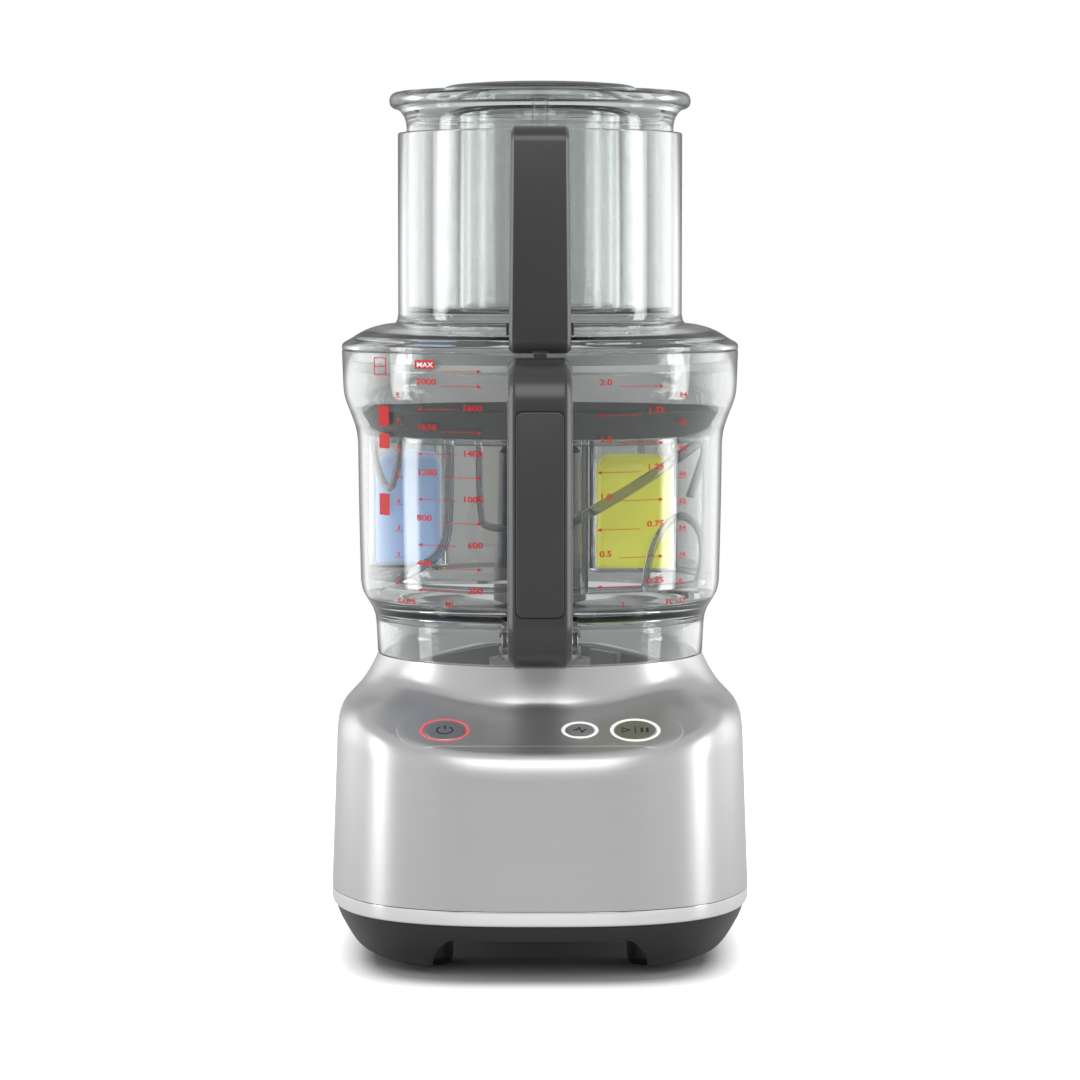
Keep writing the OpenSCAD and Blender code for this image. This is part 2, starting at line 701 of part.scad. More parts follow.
module lid() {
  t = lid_wall;
  section = [[93.9, bowl_top_z + gap], [93.9, 283.2], [92.6, 284.4], [89, 286.4], [85, 289], [80, 291.2], [73, 293],
    [60, 293.8], [60, 293.8 - t], [73, 293 - t], [79, 291.2 - t], [84, 289 - t], [86.7, 285.4], [87, 284],
    [87.2, lid_low_z], [lid_skirt_r, lid_low_z], [lid_skirt_r, bowl_top_z + gap]];
  color("lightcyan", 0.4) difference() {
    union() {
      turned(section);
      translate([0, chute_back, 0]) turned([[chute_r - t, 289], [chute_r + 1.8, 292.8], [chute_r + 0.6, 294.4],
        [chute_r, 297], [chute_r, chute_top_z - 0.8], [chute_r - 0.8, chute_top_z],
        [chute_r - t + 0.8, chute_top_z], [chute_r - t, chute_top_z - 0.8]]);
    }
    translate([0, chute_back, 250]) cylinder(r = chute_r - t, h = 200, $fn = fine);
  }
}

module lid_seal() { color("gray") pipe(lid_skirt_r + 1, lid_skirt_r, 272, 275); }

// the rod housing on the front of the chute, and the rod inside it
housing_front = -100;
lid_rod_y = -67.8;
lid_shelf_z = 304.4;
lid_pin_top_z = 336;

module rod_housing() {
  color("dimgray") difference() {
    side_view(housing_w) polygon(concat(
      [[-56, chute_top_z - 0.4]], arc([housing_front + 7, chute_top_z - 7.4], 7, 90, 180, 6),
      [[housing_front, housing_low_z], [-94.3, housing_low_z], [-94.3, 284.4], [-92.6, 285.3], [-89, 287.3],
       [-85, 289.9], [-80, 292.1], [-73, 293.9], [-65, 295], [-62, 297.4], [-56, 300]]));
    translate([0, chute_back, 290]) cylinder(r = chute_r + 0.05, h = 100, $fn = fine);
    // way of the rod: shaft, arm and toe
    side_view(10) polygon([[-71.6, 392], [-64, 392], [-64, lid_shelf_z + 2], [-71.6, lid_shelf_z + 2]]);
    side_view(10) polygon([[-98.6, lid_shelf_z], [-64, lid_shelf_z], [-64, 296], [-95.2, 296], [-95.2, 270],
      [-98.6, 270]]);
    translate([0, lid_rod_y, lid_shelf_z - 1]) cylinder(r = rod_pin_r + 0.3, h = 4, $fn = 24);
  }
}

module housing_clips() {
  color("black") for (x = [-1, 1]) translate([x * (housing_w / 2 + 0.7), -93.5, 289]) soft_block(1.2, 5, 5.5, 0.5);
}

module lid_rod() {
  color("gray") {
    side_view(7) polygon([[-70.5, lid_pin_top_z], [-65, lid_pin_top_z], [-65, 371], [-70.5, 371]]);
    translate([0, lid_rod_y, 298]) cylinder(r = rod_pin_r, h = lid_pin_top_z - 297, $fn = 24);
    side_view(7) polygon([[-98.2, 281], [-95.6, 281], [-95.6, 296.8], [-65, 296.8], [-65, 300.6], [-98.2, 300.6]]);
  }
}

module lid_spring() {
  color("silver") translate([0, lid_rod_y, 0]) coil_spring(2.1, 0.35, lid_shelf_z + 2.1, lid_pin_top_z - 0.1, 8);
}

pusher_r = 63.1;
inner_tube_r = 39;

module pusher() {
  t = 2.3;
  color("lightcyan", 0.4) translate([0, chute_back, 0]) {
    turned([[inner_tube_r - t, pusher_low_z], [pusher_r - 1, pusher_low_z], [pusher_r, pusher_low_z + 1],
      [pusher_r + 0.1, 386.5], [64.2, 390.6], [66.8, 393.8], [69.6, 394.6], [71.0, 395.8], [71.5, 398], [70.8, 400.6],
      [68.8, 401.9], [66, 402], [63.6, 400.4], [61.8, 397.4], [60.9, 392], [60.8, pusher_low_z + t],
      [inner_tube_r, pusher_low_z + t], [inner_tube_r, 400.2], [inner_tube_r - t, 400.2]]);
    // tab that presses the interlock rod
    for (x = [-3.9, 2.5]) translate([x, -74.4, 371.4]) cube([1.4, 3.8, 27]);
    translate([-3.9, -71.6, 371.4]) cube([7.8, 1, 27]);
  }
}

module small_pusher() {
  t = 2.2;
  r = inner_tube_r - 2.3 - 1;
  color("lightcyan", 0.4) translate([0, chute_back, 0])
    turned([[0, 299], [r - 1, 299], [r, 300], [r, 400.6], [43, 400.6], [43, 402.6],
      [r - t, 402.6], [r - t, 299 + t], [0, 299 + t]]);
}

module small_pusher_cap() {
  r = 45.2;
  color("gray") translate([0, chute_back, 0])
    turned(concat([[0, 402.6], [r - 1.2, 402.6], [r, 403.4], [r - 0.6, 404.6], [r - 3, 405.4]], [[30, 406.2], [0, 406.6]]));
}

// ---------------------------------------------------------------- one node at a time

translate([0, spindle_back, 0]) {
  base_shell();
  chrome_band();
  base_skirt();
  bottom_plate();
  feet();
  base_screws();
  bowl_seat_deck();
  shaft_seal();
  cord_gland();
  control_panel();
  power_ring();
  button_rings();
  control_board();
  touch_switches();
  power_board();
  run_capacitor();
  interlock_switch();
  wiring_loom();
  motor_stator();
  motor_windings();
  motor_upper_bracket();
  motor_lower_bracket();
  motor_bearings();
  motor_mounts();
  motor_bolts();
  power_button();
  pulse_button();
  start_button();
  motor_rotor();
  motor_shaft();
  cooling_fan();
  drive_coupling();
  switch_plunger();
  bowl();
  bowl_handle();
  handle_grip();
  handle_screws();
  interlock_rod();
  handle_spring();
  blade_hub();
  s_blades();
  storage_caddy();
  caddy_ring();
  blue_cover();
  lime_cover();
  slicing_insert();
  shredding_insert();
  lid();
  lid_seal();
  rod_housing();
  housing_clips();
  lid_rod();
  lid_spring();
  pusher();
  small_pusher();
  small_pusher_cap();
}
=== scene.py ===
"""Looks of the food processor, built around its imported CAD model. Lengths are in millimetres
until a piece is made, and Blender's metres from there on."""
import json
import math
import bmesh
import bpy
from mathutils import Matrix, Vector
from mathutils.kdtree import KDTree


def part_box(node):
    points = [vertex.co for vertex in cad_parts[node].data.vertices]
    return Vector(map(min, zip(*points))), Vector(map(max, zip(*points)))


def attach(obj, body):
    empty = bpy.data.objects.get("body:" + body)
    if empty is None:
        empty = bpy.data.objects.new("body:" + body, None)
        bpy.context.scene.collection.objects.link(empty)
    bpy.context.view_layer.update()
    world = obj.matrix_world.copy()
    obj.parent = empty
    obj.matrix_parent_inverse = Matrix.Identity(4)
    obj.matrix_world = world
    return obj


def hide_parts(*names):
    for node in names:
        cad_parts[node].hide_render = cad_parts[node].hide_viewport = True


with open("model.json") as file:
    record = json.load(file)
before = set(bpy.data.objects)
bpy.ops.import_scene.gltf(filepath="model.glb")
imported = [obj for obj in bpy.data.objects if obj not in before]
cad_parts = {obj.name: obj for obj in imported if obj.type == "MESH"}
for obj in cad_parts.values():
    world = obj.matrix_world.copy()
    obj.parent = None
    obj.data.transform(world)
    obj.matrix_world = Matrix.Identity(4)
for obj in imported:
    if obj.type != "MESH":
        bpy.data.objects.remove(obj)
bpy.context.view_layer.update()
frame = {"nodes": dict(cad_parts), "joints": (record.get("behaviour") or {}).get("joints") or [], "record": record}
nodes = frame["nodes"]
MM = 0.001


# ---------- sizes, from the frame

SPINDLE = Vector((0, next(j["pos_m"][1] for j in frame["joints"] if j["name"] == "rotor_spin") / MM, 0))


def span(node):
    """A node's lowest and highest corner in millimetres, from the foot of the drive spindle."""
    low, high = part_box(node)
    return Vector(low) / MM - SPINDLE, Vector(high) / MM - SPINDLE


shell_low, shell_high = span("base_shell")
HALF_W = (shell_high.x - shell_low.x) / 2
HALF_D = (shell_high.y - shell_low.y) / 2
PLAN_Y = (shell_high.y + shell_low.y) / 2
PLAN_POWER = 2.8
BAND_TOP = shell_low.z
SEAT_Z = shell_high.z
NECK_R = 77.0
BOWL_LOW = span("bowl")[0].z
BOWL_TOP = span("bowl")[1].z
CHUTE_Y = (span("small_pusher")[0].y + span("small_pusher")[1].y) / 2
CHUTE_R = 67.4
CHUTE_TOP = span("lid")[1].z
HANDLE_FRONT = span("bowl_handle")[0].y
HANDLE_TOP = span("bowl_handle")[1].z
HANDLE_W = span("bowl_handle")[1].x * 2
HOUSING_FRONT, HOUSING_LOW = span("rod_housing")[0].y, span("rod_housing")[0].z
HOUSING_TOP = span("rod_housing")[1].z
LEDGE_SLOPE = 0.357
LEDGE_TILT = math.atan(LEDGE_SLOPE)
LEDGE_Y, LEDGE_Z = -99.5, 110.87
PANEL_L, PANEL_W = 130.0, 33.0
PRESS_OUT = Vector((0, -math.sin(LEDGE_TILT), math.cos(LEDGE_TILT)))
BUTTONS = {"power": (-43.0, 11.4), "pulse": (18.0, 8.4), "start": (43.0, 11.4)}


# ---------- materials

def principled(mat):
    return next(n for n in mat.node_tree.nodes if n.type == "BSDF_PRINCIPLED")


def new_material(name):
    mat = bpy.data.materials.new(name)
    mat.use_nodes = True
    return mat, mat.node_tree, principled(mat)


def node(tree, kind, **values):
    made = tree.nodes.new(kind)
    for key, value in values.items():
        if key in made.inputs:
            made.inputs[key].default_value = value
        else:
            setattr(made, key, value)
    return made


def object_coords(tree, scale=(1, 1, 1)):
    """Object coordinates in metres, stretched by scale."""
    coords = node(tree, "ShaderNodeTexCoord")
    mapping = node(tree, "ShaderNodeMapping")
    mapping.inputs["Scale"].default_value = scale
    tree.links.new(coords.outputs["Object"], mapping.inputs["Vector"])
    return mapping.outputs["Vector"]


def noise(tree, vector, scale, detail=2.0):
    made = node(tree, "ShaderNodeTexNoise", Scale=scale, Detail=detail)
    tree.links.new(vector, made.inputs["Vector"])
    return made.outputs["Fac"]


def ranged(tree, value, low, high):
    made = node(tree, "ShaderNodeMapRange")
    made.inputs["To Min"].default_value = low
    made.inputs["To Max"].default_value = high
    tree.links.new(value, made.inputs["Value"])
    return made.outputs["Result"]


def ramp(tree, value, stops):
    """A colour ramp of grey levels, from (place, level) pairs."""
    made = node(tree, "ShaderNodeValToRGB")
    while len(made.color_ramp.elements) < len(stops):
        made.color_ramp.elements.new(0.5)
    for element, (at, level) in zip(made.color_ramp.elements, stops):
        element.position, element.color = at, (level, level, level, 1)
    tree.links.new(value, made.inputs["Fac"])
    return made.outputs["Color"]


def maths(tree, operation, a, b=None):
    made = node(tree, "ShaderNodeMath", operation=operation)
    for socket, value in zip(made.inputs, (a, b)):
        if isinstance(value, (int, float)):
            socket.default_value = value
        elif value is not None:
            tree.links.new(value, socket)
    return made.outputs["Value"]


def varied_colour(tree, shader, value, colour, less, more):
    """A base colour that runs from a darker to a lighter shade of one colour, with the value."""
    mix = node(tree, "ShaderNodeMix", data_type="RGBA")
    mix.inputs["A"].default_value = (*(c * (1 - less) for c in colour), 1)
    mix.inputs["B"].default_value = (*(c * (1 + more) for c in colour), 1)
    tree.links.new(value, mix.inputs["Factor"])
    tree.links.new(mix.outputs["Result"], shader.inputs["Base Color"])


def bumped(tree, shader, height, strength, distance):
    bump = node(tree, "ShaderNodeBump", Strength=strength, Distance=distance)
    tree.links.new(height, bump.inputs["Height"])
    tree.links.new(bump.outputs["Normal"], shader.inputs["Normal"])


def plastic(name, colour, rough, grain=900, bump=0.1, coat=0.0, spread=0.12):
    """Moulded plastic or rubber: a fine grain, and patches of slightly different gloss."""
    mat, tree, shader = new_material(name)
    patches = noise(tree, object_coords(tree), 22)
    varied_colour(tree, shader, patches, colour, spread, spread)
    tree.links.new(ranged(tree, patches, rough * 0.88, rough * 1.12), shader.inputs["Roughness"])
    shader.inputs["Coat Weight"].default_value = coat
    bumped(tree, shader, noise(tree, object_coords(tree), grain, 3), bump, 0.0002)
    return mat


def milky(name, colour):
    """Coloured plastic that lets some light through."""
    mat = plastic(name, colour, 0.4, 300, 0.05, spread=0.05)
    shader = principled(mat)
    shader.inputs["Transmission Weight"].default_value = 0.4
    shader.inputs["IOR"].default_value = 1.3
    return mat


def metal(name, colour, rough, scratches=(60, 60, 4200), spread=0.06, bump=0.06):
    """Machined or plated metal, with fine strokes across the axis that scratches stretches most."""
    mat, tree, shader = new_material(name)
    shader.inputs["Metallic"].default_value = 1
    strokes = noise(tree, object_coords(tree, scratches), 1, 3)
    varied_colour(tree, shader, strokes, colour, spread, spread)
    tree.links.new(ranged(tree, strokes, rough * 0.8, rough * 1.2), shader.inputs["Roughness"])
    bumped(tree, shader, strokes, bump, 0.0001)
    return mat


def brushed_shell(name, colour, rough):
    """Brushed sheet metal: the strokes run round the body, level with the table, by the stroke attribute."""
    mat, tree, shader = new_material(name)
    shader.inputs["Metallic"].default_value = 0.85
    shader.inputs["Anisotropic"].default_value = 0.3
    shader.inputs["Anisotropic Rotation"].default_value = 0.25
    stroke = node(tree, "ShaderNodeAttribute", attribute_name="stroke")
    split = node(tree, "ShaderNodeSeparateXYZ")
    tree.links.new(object_coords(tree, (14, 14, 14)), split.inputs["Vector"])
    joined = node(tree, "ShaderNodeCombineXYZ")
    tree.links.new(split.outputs["X"], joined.inputs["X"])
    tree.links.new(split.outputs["Y"], joined.inputs["Y"])
    strokes_per_mm = 5.5
    tree.links.new(maths(tree, "MULTIPLY", stroke.outputs["Fac"], strokes_per_mm), joined.inputs["Z"])
    strokes = noise(tree, joined.outputs["Vector"], 1.0, 4)
    varied_colour(tree, shader, strokes, colour, 0.07, 0.05)
    tree.links.new(ranged(tree, strokes, rough * 0.8, rough * 1.25), shader.inputs["Roughness"])
    bumped(tree, shader, strokes, 0.05, 0.0001)
    return mat


def clear(name, depth_tint, depth, rough=0.02):
    """Clear plastic that takes its tint from its depth, with a faint ripple from its mould.
    Lamps reach what is behind it."""
    mat, tree, shader = new_material(name)
    shader.inputs["Base Color"].default_value = (0.985, 0.99, 0.988, 1)
    shader.inputs["Transmission Weight"].default_value = 1
    shader.inputs["IOR"].default_value = 1.47
    shader.inputs["Roughness"].default_value = rough
    bumped(tree, shader, noise(tree, object_coords(tree), 35, 1), 0.03, 0.0006)
    path = node(tree, "ShaderNodeLightPath")
    through = node(tree, "ShaderNodeBsdfTransparent", Color=(0.93, 0.945, 0.94, 1))
    mix = node(tree, "ShaderNodeMixShader")
    tree.links.new(path.outputs["Is Shadow Ray"], mix.inputs["Fac"])
    tree.links.new(shader.outputs["BSDF"], mix.inputs[1])
    tree.links.new(through.outputs["BSDF"], mix.inputs[2])
    out = next(n for n in tree.nodes if n.type == "OUTPUT_MATERIAL")
    tree.links.new(mix.outputs["Shader"], out.inputs["Surface"])
    absorb = node(tree, "ShaderNodeVolumeAbsorption", Color=(*depth_tint, 1), Density=depth)
    tree.links.new(absorb.outputs["Volume"], out.inputs["Volume"])
    return mat


def glowing(name, colour, light, strength, rough=0.35):
    """Plastic that sends out light: a lamp in the lit rings round the buttons, and a painted glow on the blade
    covers, which are no lamps.
    """
    mat = plastic(name, colour, rough, bump=0.03)
    shader = principled(mat)
    shader.inputs["Emission Color"].default_value = (*light, 1)
    shader.inputs["Emission Strength"].default_value = strength
    return mat


MATERIALS = {name: kind(name, *values) for kind, name, *values in (
    (brushed_shell, "brushed_metal", (0.52, 0.52, 0.525), 0.34),
    (metal, "button_metal", (0.52, 0.52, 0.53), 0.3, (2600, 60, 60)),
    (metal, "chrome_trim", (0.86, 0.86, 0.87), 0.07, (20, 20, 900), 0.02, 0.01),
    (plastic, "dark_plastic", (0.031, 0.031, 0.033), 0.27, 1100, 0.03),
    (plastic, "skirt_plastic", (0.012, 0.012, 0.013), 0.4, 900, 0.1),
    (plastic, "grip_plastic", (0.028, 0.028, 0.030), 0.42, 1400, 0.12),
    (clear, "clear_plastic", (0.30, 0.38, 0.355), 34),
    (clear, "tab_plastic", (0.30, 0.36, 0.35), 130),
    (clear, "caddy_plastic", (0.30, 0.33, 0.34), 420, 0.06),
    (plastic, "smoke_plastic", (0.05, 0.056, 0.055), 0.3, 300, 0.04),
    (plastic, "black_rubber", (0.012, 0.012, 0.012), 0.75, 700, 0.3),
    (plastic, "black_plastic", (0.015, 0.015, 0.016), 0.4),
    (plastic, "grey_plastic", (0.20, 0.20, 0.205), 0.4, 800, 0.1),
    (plastic, "fan_plastic", (0.7, 0.7, 0.68), 0.45),
    (metal, "blade_steel", (0.6, 0.61, 0.62), 0.24, (900, 900, 30)),
    # the blade covers' glow is painted light: they are no lamps, and the glow stands in for light shining through
    # them
    (glowing, "blue_plastic", (0.36, 0.53, 0.88), (0.36, 0.53, 0.88), 0.22, 0.3),
    (glowing, "lime_plastic", (0.74, 0.72, 0.01), (0.74, 0.72, 0.01), 0.22, 0.3),
    (glowing, "red_light", (0.55, 0.10, 0.11), (0.9, 0.16, 0.18), 0.26),
    (plastic, "ring_plastic", (0.028, 0.032, 0.031), 0.5, 300, 0.04),
    (glowing, "white_light", (0.8, 0.8, 0.8), (1, 1, 1), 0.3),
    (metal, "satin_steel", (0.3, 0.3, 0.305), 0.6, (900, 900, 900)),
    (milky, "silicone", (0.55, 0.56, 0.55)),
    (plastic, "white_print", (0.8, 0.78, 0.78), 0.5, 600, 0.02),
    (plastic, "red_plastic", (0.5, 0.03, 0.02), 0.35),
    (plastic, "red_print", (0.52, 0.012, 0.014), 0.6, 600, 0.02),
    (plastic, "dark_print", (0.02, 0.02, 0.02), 0.5, 600, 0.02),
    (plastic, "circuit_board", (0.02, 0.13, 0.05), 0.3, 150, 0.1, 0.4),
    (plastic, "wire_plastic", (0.65, 0.65, 0.62), 0.45),
    (metal, "motor_iron", (0.22, 0.22, 0.23), 0.45, (20, 20, 9000), 0.2, 0.3),
    (metal, "copper_wire", (0.62, 0.25, 0.1), 0.35, (200, 200, 3500), 0.25, 0.5),
    (metal, "cast_aluminium", (0.5, 0.5, 0.5), 0.5, (900, 900, 900), 0.08, 0.2),
    (metal, "bright_steel", (0.6, 0.6, 0.61), 0.25, (60, 60, 5000)),
)}
# the nodes that don't show their slot's look, and the look each shows instead
LOOK_OF_NODE = {
    "handle_screws": "satin_steel", "lid_rod": "black_plastic", "interlock_rod": "black_plastic",
    "caddy_ring": "ring_plastic", "lid_seal": "silicone",
}


# ---------- making pieces

def mark_smooth(mesh, sharp_angle):
    """Smooth shading, with edges sharper than the angle kept crisp."""
    bm = bmesh.new()
    bm.from_mesh(mesh)
    bmesh.ops.remove_doubles(bm, verts=bm.verts, dist=2e-6)
    bmesh.ops.dissolve_degenerate(bm, edges=bm.edges, dist=1e-6)
    bmesh.ops.recalc_face_normals(bm, faces=bm.faces)
    for face in bm.faces:
        face.smooth = True
    for edge in bm.edges:
        if len(edge.link_faces) == 2 and edge.calc_face_angle(0) > math.radians(sharp_angle):
            edge.smooth = False
    bm.to_mesh(mesh)
    bm.free()


def in_scene(name, data):
    obj = bpy.data.objects.new(name, data)
    bpy.context.scene.collection.objects.link(obj)
    return obj


def modified(obj):
    """A mesh like the object's, with its modifiers applied."""
    return bpy.data.meshes.new_from_object(obj.evaluated_get(bpy.context.evaluated_depsgraph_get()))


def raw_object(name, verts, faces):
    """A mesh object from points in millimetres, drawn from the foot of the drive spindle."""
    mesh = bpy.data.meshes.new(name)
    mesh.from_pydata([(Vector(v) + SPINDLE) * MM for v in verts], [], faces)
    return in_scene(name, mesh)


def settle(obj, body, material, replaces=()):
    """Gives a piece its shading, material and body, and hides the CAD nodes it stands for."""
    mark_smooth(obj.data, 38)
    obj.data.materials.clear()
    obj.data.materials.append(MATERIALS[material])
    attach(obj, body)
    if replaces:
        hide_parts(*replaces)
    return obj


def combine(target, tool, operation="DIFFERENCE"):
    """Cuts tool out of target, or joins it, and deletes tool."""
    for obj in (target, tool):
        bm = bmesh.new()
        bm.from_mesh(obj.data)
        bmesh.ops.remove_doubles(bm, verts=bm.verts, dist=2e-6)
        bmesh.ops.recalc_face_normals(bm, faces=bm.faces)
        bm.to_mesh(obj.data)
        bm.free()
    modifier = target.modifiers.new("combine", "BOOLEAN")
    modifier.object = tool
    modifier.operation = operation
    modifier.solver = "EXACT"
    result = modified(target)
    target.modifiers.clear()
    target.data = result
    bpy.data.objects.remove(tool)
    return target


def grid_faces(rings, around, closed_rings=False):
    """Faces between rings of points; each ring closes on itself, and so do the rings if asked."""
    faces = []
    for k in range(rings if closed_rings else rings - 1):
        m = (k + 1) % rings
        for i in range(around):
            j = (i + 1) % around
            faces.append((k * around + i, k * around + j, m * around + j, m * around + i))
    return faces


def closed_faces(rings, around):
    """Faces between rings of points, with a lid on the first and the last ring."""
    last = (rings - 1) * around
    return grid_faces(rings, around) + [tuple(range(around))[::-1], tuple(range(last, last + around))]


def turns(count):
    return [2 * math.pi * i / count for i in range(count)]


def arc(cx, cy, r, start, end, steps=10):
    """Points of an arc, between two angles in degrees."""
    return [(cx + r * math.cos(math.radians(start + (end - start) * i / steps)),
             cy + r * math.sin(math.radians(start + (end - start) * i / steps))) for i in range(steps + 1)]


def rounded(points, radius=0.4, steps=4):
    """A closed outline with rounded corners. A point may carry its own radius as a third value."""
    out = []
    count = len(points)
    for i, point in enumerate(points):
        here = Vector(point[:2])
        before = Vector(points[i - 1][:2]) - here
        after = Vector(points[(i + 1) % count][:2]) - here
        r = point[2] if len(point) > 2 else radius
        reach = min(r, before.length * 0.45, after.length * 0.45)
        if reach < 0.02 or before.length == 0 or after.length == 0:
            out.append(tuple(here))
            continue
        a, b = here + before.normalized() * reach, here + after.normalized() * reach
        for s in range(steps + 1):
            t = s / steps
            out.append(tuple((1 - t) ** 2 * a + 2 * t * (1 - t) * here + t * t * b))
    return out


def lathe(name, outline, centre_y=0.0, around=192):
    """A turned solid from a closed outline of (radius, z) points."""
    verts = [(max(r, 0) * math.cos(a), centre_y + max(r, 0) * math.sin(a), z)
             for r, z in outline for a in turns(around)]
    return raw_object(name, verts, grid_faces(len(outline), around, True))


def slab(name, outline, low, high, place):
    """A solid from an outline, between two depths; place turns (u, v, depth) into a point."""
    count = len(outline)
    verts = [place(u, v, low) for u, v in outline] + [place(u, v, high) for u, v in outline]
    faces = [(i, (i + 1) % count, (i + 1) % count + count, i + count) for i in range(count)]
    faces += [tuple(range(count))[::-1], tuple(range(count, 2 * count))]
    return raw_object(name, verts, faces)


def join_into(name, parts):
    """One mesh object of the given name from several."""
    verts, faces = [], []
    for part in parts:
        start = len(verts)
        verts += [tuple(v.co / MM - SPINDLE) for v in part.data.vertices]
        faces += [tuple(start + i for i in p.vertices) for p in part.data.polygons]
        bpy.data.objects.remove(part)
    return raw_object(name, verts, faces)


def side_on(u, v, depth):
    """An outline in the side view, (y, z), with its depth across the machine."""
    return (depth, u, v)


def upright(u, v, depth):
    """An outline in plan, (x, y), with its depth upwards."""
    return (u, v, depth)


def bevel(obj, width, segments=4, angle=30):
    """Rounds every edge sharper than the angle for good. One segment makes a flat chamfer."""
    modifier = obj.modifiers.new("bevel", "BEVEL")
    modifier.width = width * MM
    modifier.segments = segments
    modifier.limit_method = "ANGLE"
    modifier.angle_limit = math.radians(angle)
    result = modified(obj)
    obj.modifiers.clear()
    obj.data = result
    return obj


# ---------- motor base

def plan_point(a, inset=0.0):
    """A point of the base's outline, a soft-cornered rectangle, at angle a."""
    c, s = math.cos(a), math.sin(a)
    return Vector((math.copysign((HALF_W - inset) * abs(c) ** (2 / PLAN_POWER), c),
                   PLAN_Y + math.copysign((HALF_D - inset) * abs(s) ** (2 / PLAN_POWER), s)))


def soft(t):
    """An even step from 0 to 1 with soft ends."""
    t = min(1.0, max(0.0, t))
    return t * t * (3 - 2 * t)


def soft_min(a, b, k):
    """The smaller value, blended over k where the two are close."""
    return min(a, b) if abs(a - b) >= k else min(a, b) - (k - abs(a - b)) ** 2 / (4 * k)


def section_curve(p, inset, steps):
    """The housing's section in the direction of plan point p, from the neck down, as (radius, z)."""
    flare, flat_gap, side_gap = 2.5, 40.0, 18.5
    r_out = p.length
    d = p / r_out
    n_r = NECK_R - inset
    g = r_out - inset - flare - n_r
    w = soft((g - side_gap) / (flat_gap - side_gap))

    def mixed(narrow, wide):
        return n_r + narrow * g * (1 - w) + wide * w

    def on_ledge(r, cap):
        return soft_min(LEDGE_Z + (r * d.y - LEDGE_Y) * LEDGE_SLOPE, cap, 4) - inset

    r1, r2, r3 = mixed(0.14, 0.6), mixed(0.33, 3.5), mixed(0.46, 11)
    r4, r5 = mixed(0.70, g - 9.5), mixed(0.93, g - 3)
    z5 = on_ledge(r5, 114)
    controls = [Vector(c) for c in (
        (n_r, SEAT_Z), (r1, on_ledge(r1, 127.2) + 4.3), (r2, on_ledge(r2, 126)), (r3, on_ledge(r3, 122.8)),
        (r4, on_ledge(r4, 118.5)), (r5, z5), (n_r + g - 0.3, z5 - 6.8), (n_r + g, z5 - 19),
        (r_out - inset, BAND_TOP))]
    last, curve = len(controls) - 1, []
    for i in range(1, last):
        a = controls[0] if i == 1 else (controls[i - 1] + controls[i]) / 2
        b = controls[last] if i == last - 1 else (controls[i] + controls[i + 1]) / 2
        for s in range(steps):
            t = s / steps
            curve.append((1 - t) ** 2 * a + 2 * t * (1 - t) * controls[i] + t * t * b)
    curve.append(controls[last])
    return curve


def housing_z(x, y):
    """Height of the housing's outer surface above a point of the ledge."""
    direction = Vector((x, y)).normalized()
    low, high = 60.0, 200.0
    for _ in range(40):
        mid = (low + high) / 2
        q = direction * mid
        inside = abs(q.x / HALF_W) ** PLAN_POWER + abs((q.y - PLAN_Y) / HALF_D) ** PLAN_POWER < 1
        low, high = (mid, high) if inside else (low, mid)
    curve = section_curve(direction * low, 0, 10)
    r = math.hypot(x, y)
    for a, b in zip(curve, curve[1:]):
        if a.x <= r <= b.x and b.x > a.x:
            return a.y + (b.y - a.y) * (r - a.x) / (b.x - a.x)
    return curve[-1].y


def on_panel(u, v, height):
    """A point of the control panel: u along it, v up the slope, height above the ledge's plane."""
    up_slope = Vector((0, math.cos(LEDGE_TILT), math.sin(LEDGE_TILT)))
    return Vector((u, LEDGE_Y, LEDGE_Z)) + up_slope * v + PRESS_OUT * height


def stadium(length, width, inset=0.0, steps=28):
    """A bar with round ends."""
    r = width / 2 - inset
    end = length / 2 - width / 2
    return arc(end, 0, r, -90, 90, steps) + arc(-end, 0, r, 90, 270, steps)


def motor_housing():
    """The brushed shell. Its stroke attribute is the way down its section, which gives the strokes
    their place, and is found again by nearness once the panel is cut out."""
    around, steps, wall = 288, 9, 2.2
    plan = [plan_point(a) for a in turns(around)]
    outer = [section_curve(p, 0, steps) for p in plan]
    inner = [section_curve(p, wall, steps) for p in plan]
    count = len(outer[0])
    rings = [(outer, k) for k in range(count)] + [(inner, k) for k in reversed(range(count))]
    verts, strokes = [], []
    for curves, k in rings:
        for p, curve in zip(plan, curves):
            d = p.normalized()
            verts.append((d.x * curve[k].x, d.y * curve[k].x, curve[k].y))
            strokes.append(sum((b - a).length for a, b in zip(curve[:k], curve[1:k + 1])))
    obj = raw_object("motor_housing", verts, grid_faces(len(rings), around, True))
    tree = KDTree(len(verts))
    for i, v in enumerate(verts):
        tree.insert((Vector(v) + SPINDLE) * MM, i)
    tree.balance()
    combine(obj, slab("panel_cutter", stadium(PANEL_L, PANEL_W, 0.5), -14, 14, on_panel))
    settle(obj, "base", "brushed_metal", ["base_shell"])
    stroke = obj.data.attributes.new("stroke", "FLOAT", "POINT")
    for i, v in enumerate(obj.data.vertices):
        near = tree.find_n(v.co, 3)
        weights = [1 / (distance + 1e-7) for _, _, distance in near]
        value = sum(w * strokes[index] for w, (_, index, _) in zip(weights, near))
        stroke.data[i].value = value / sum(weights)


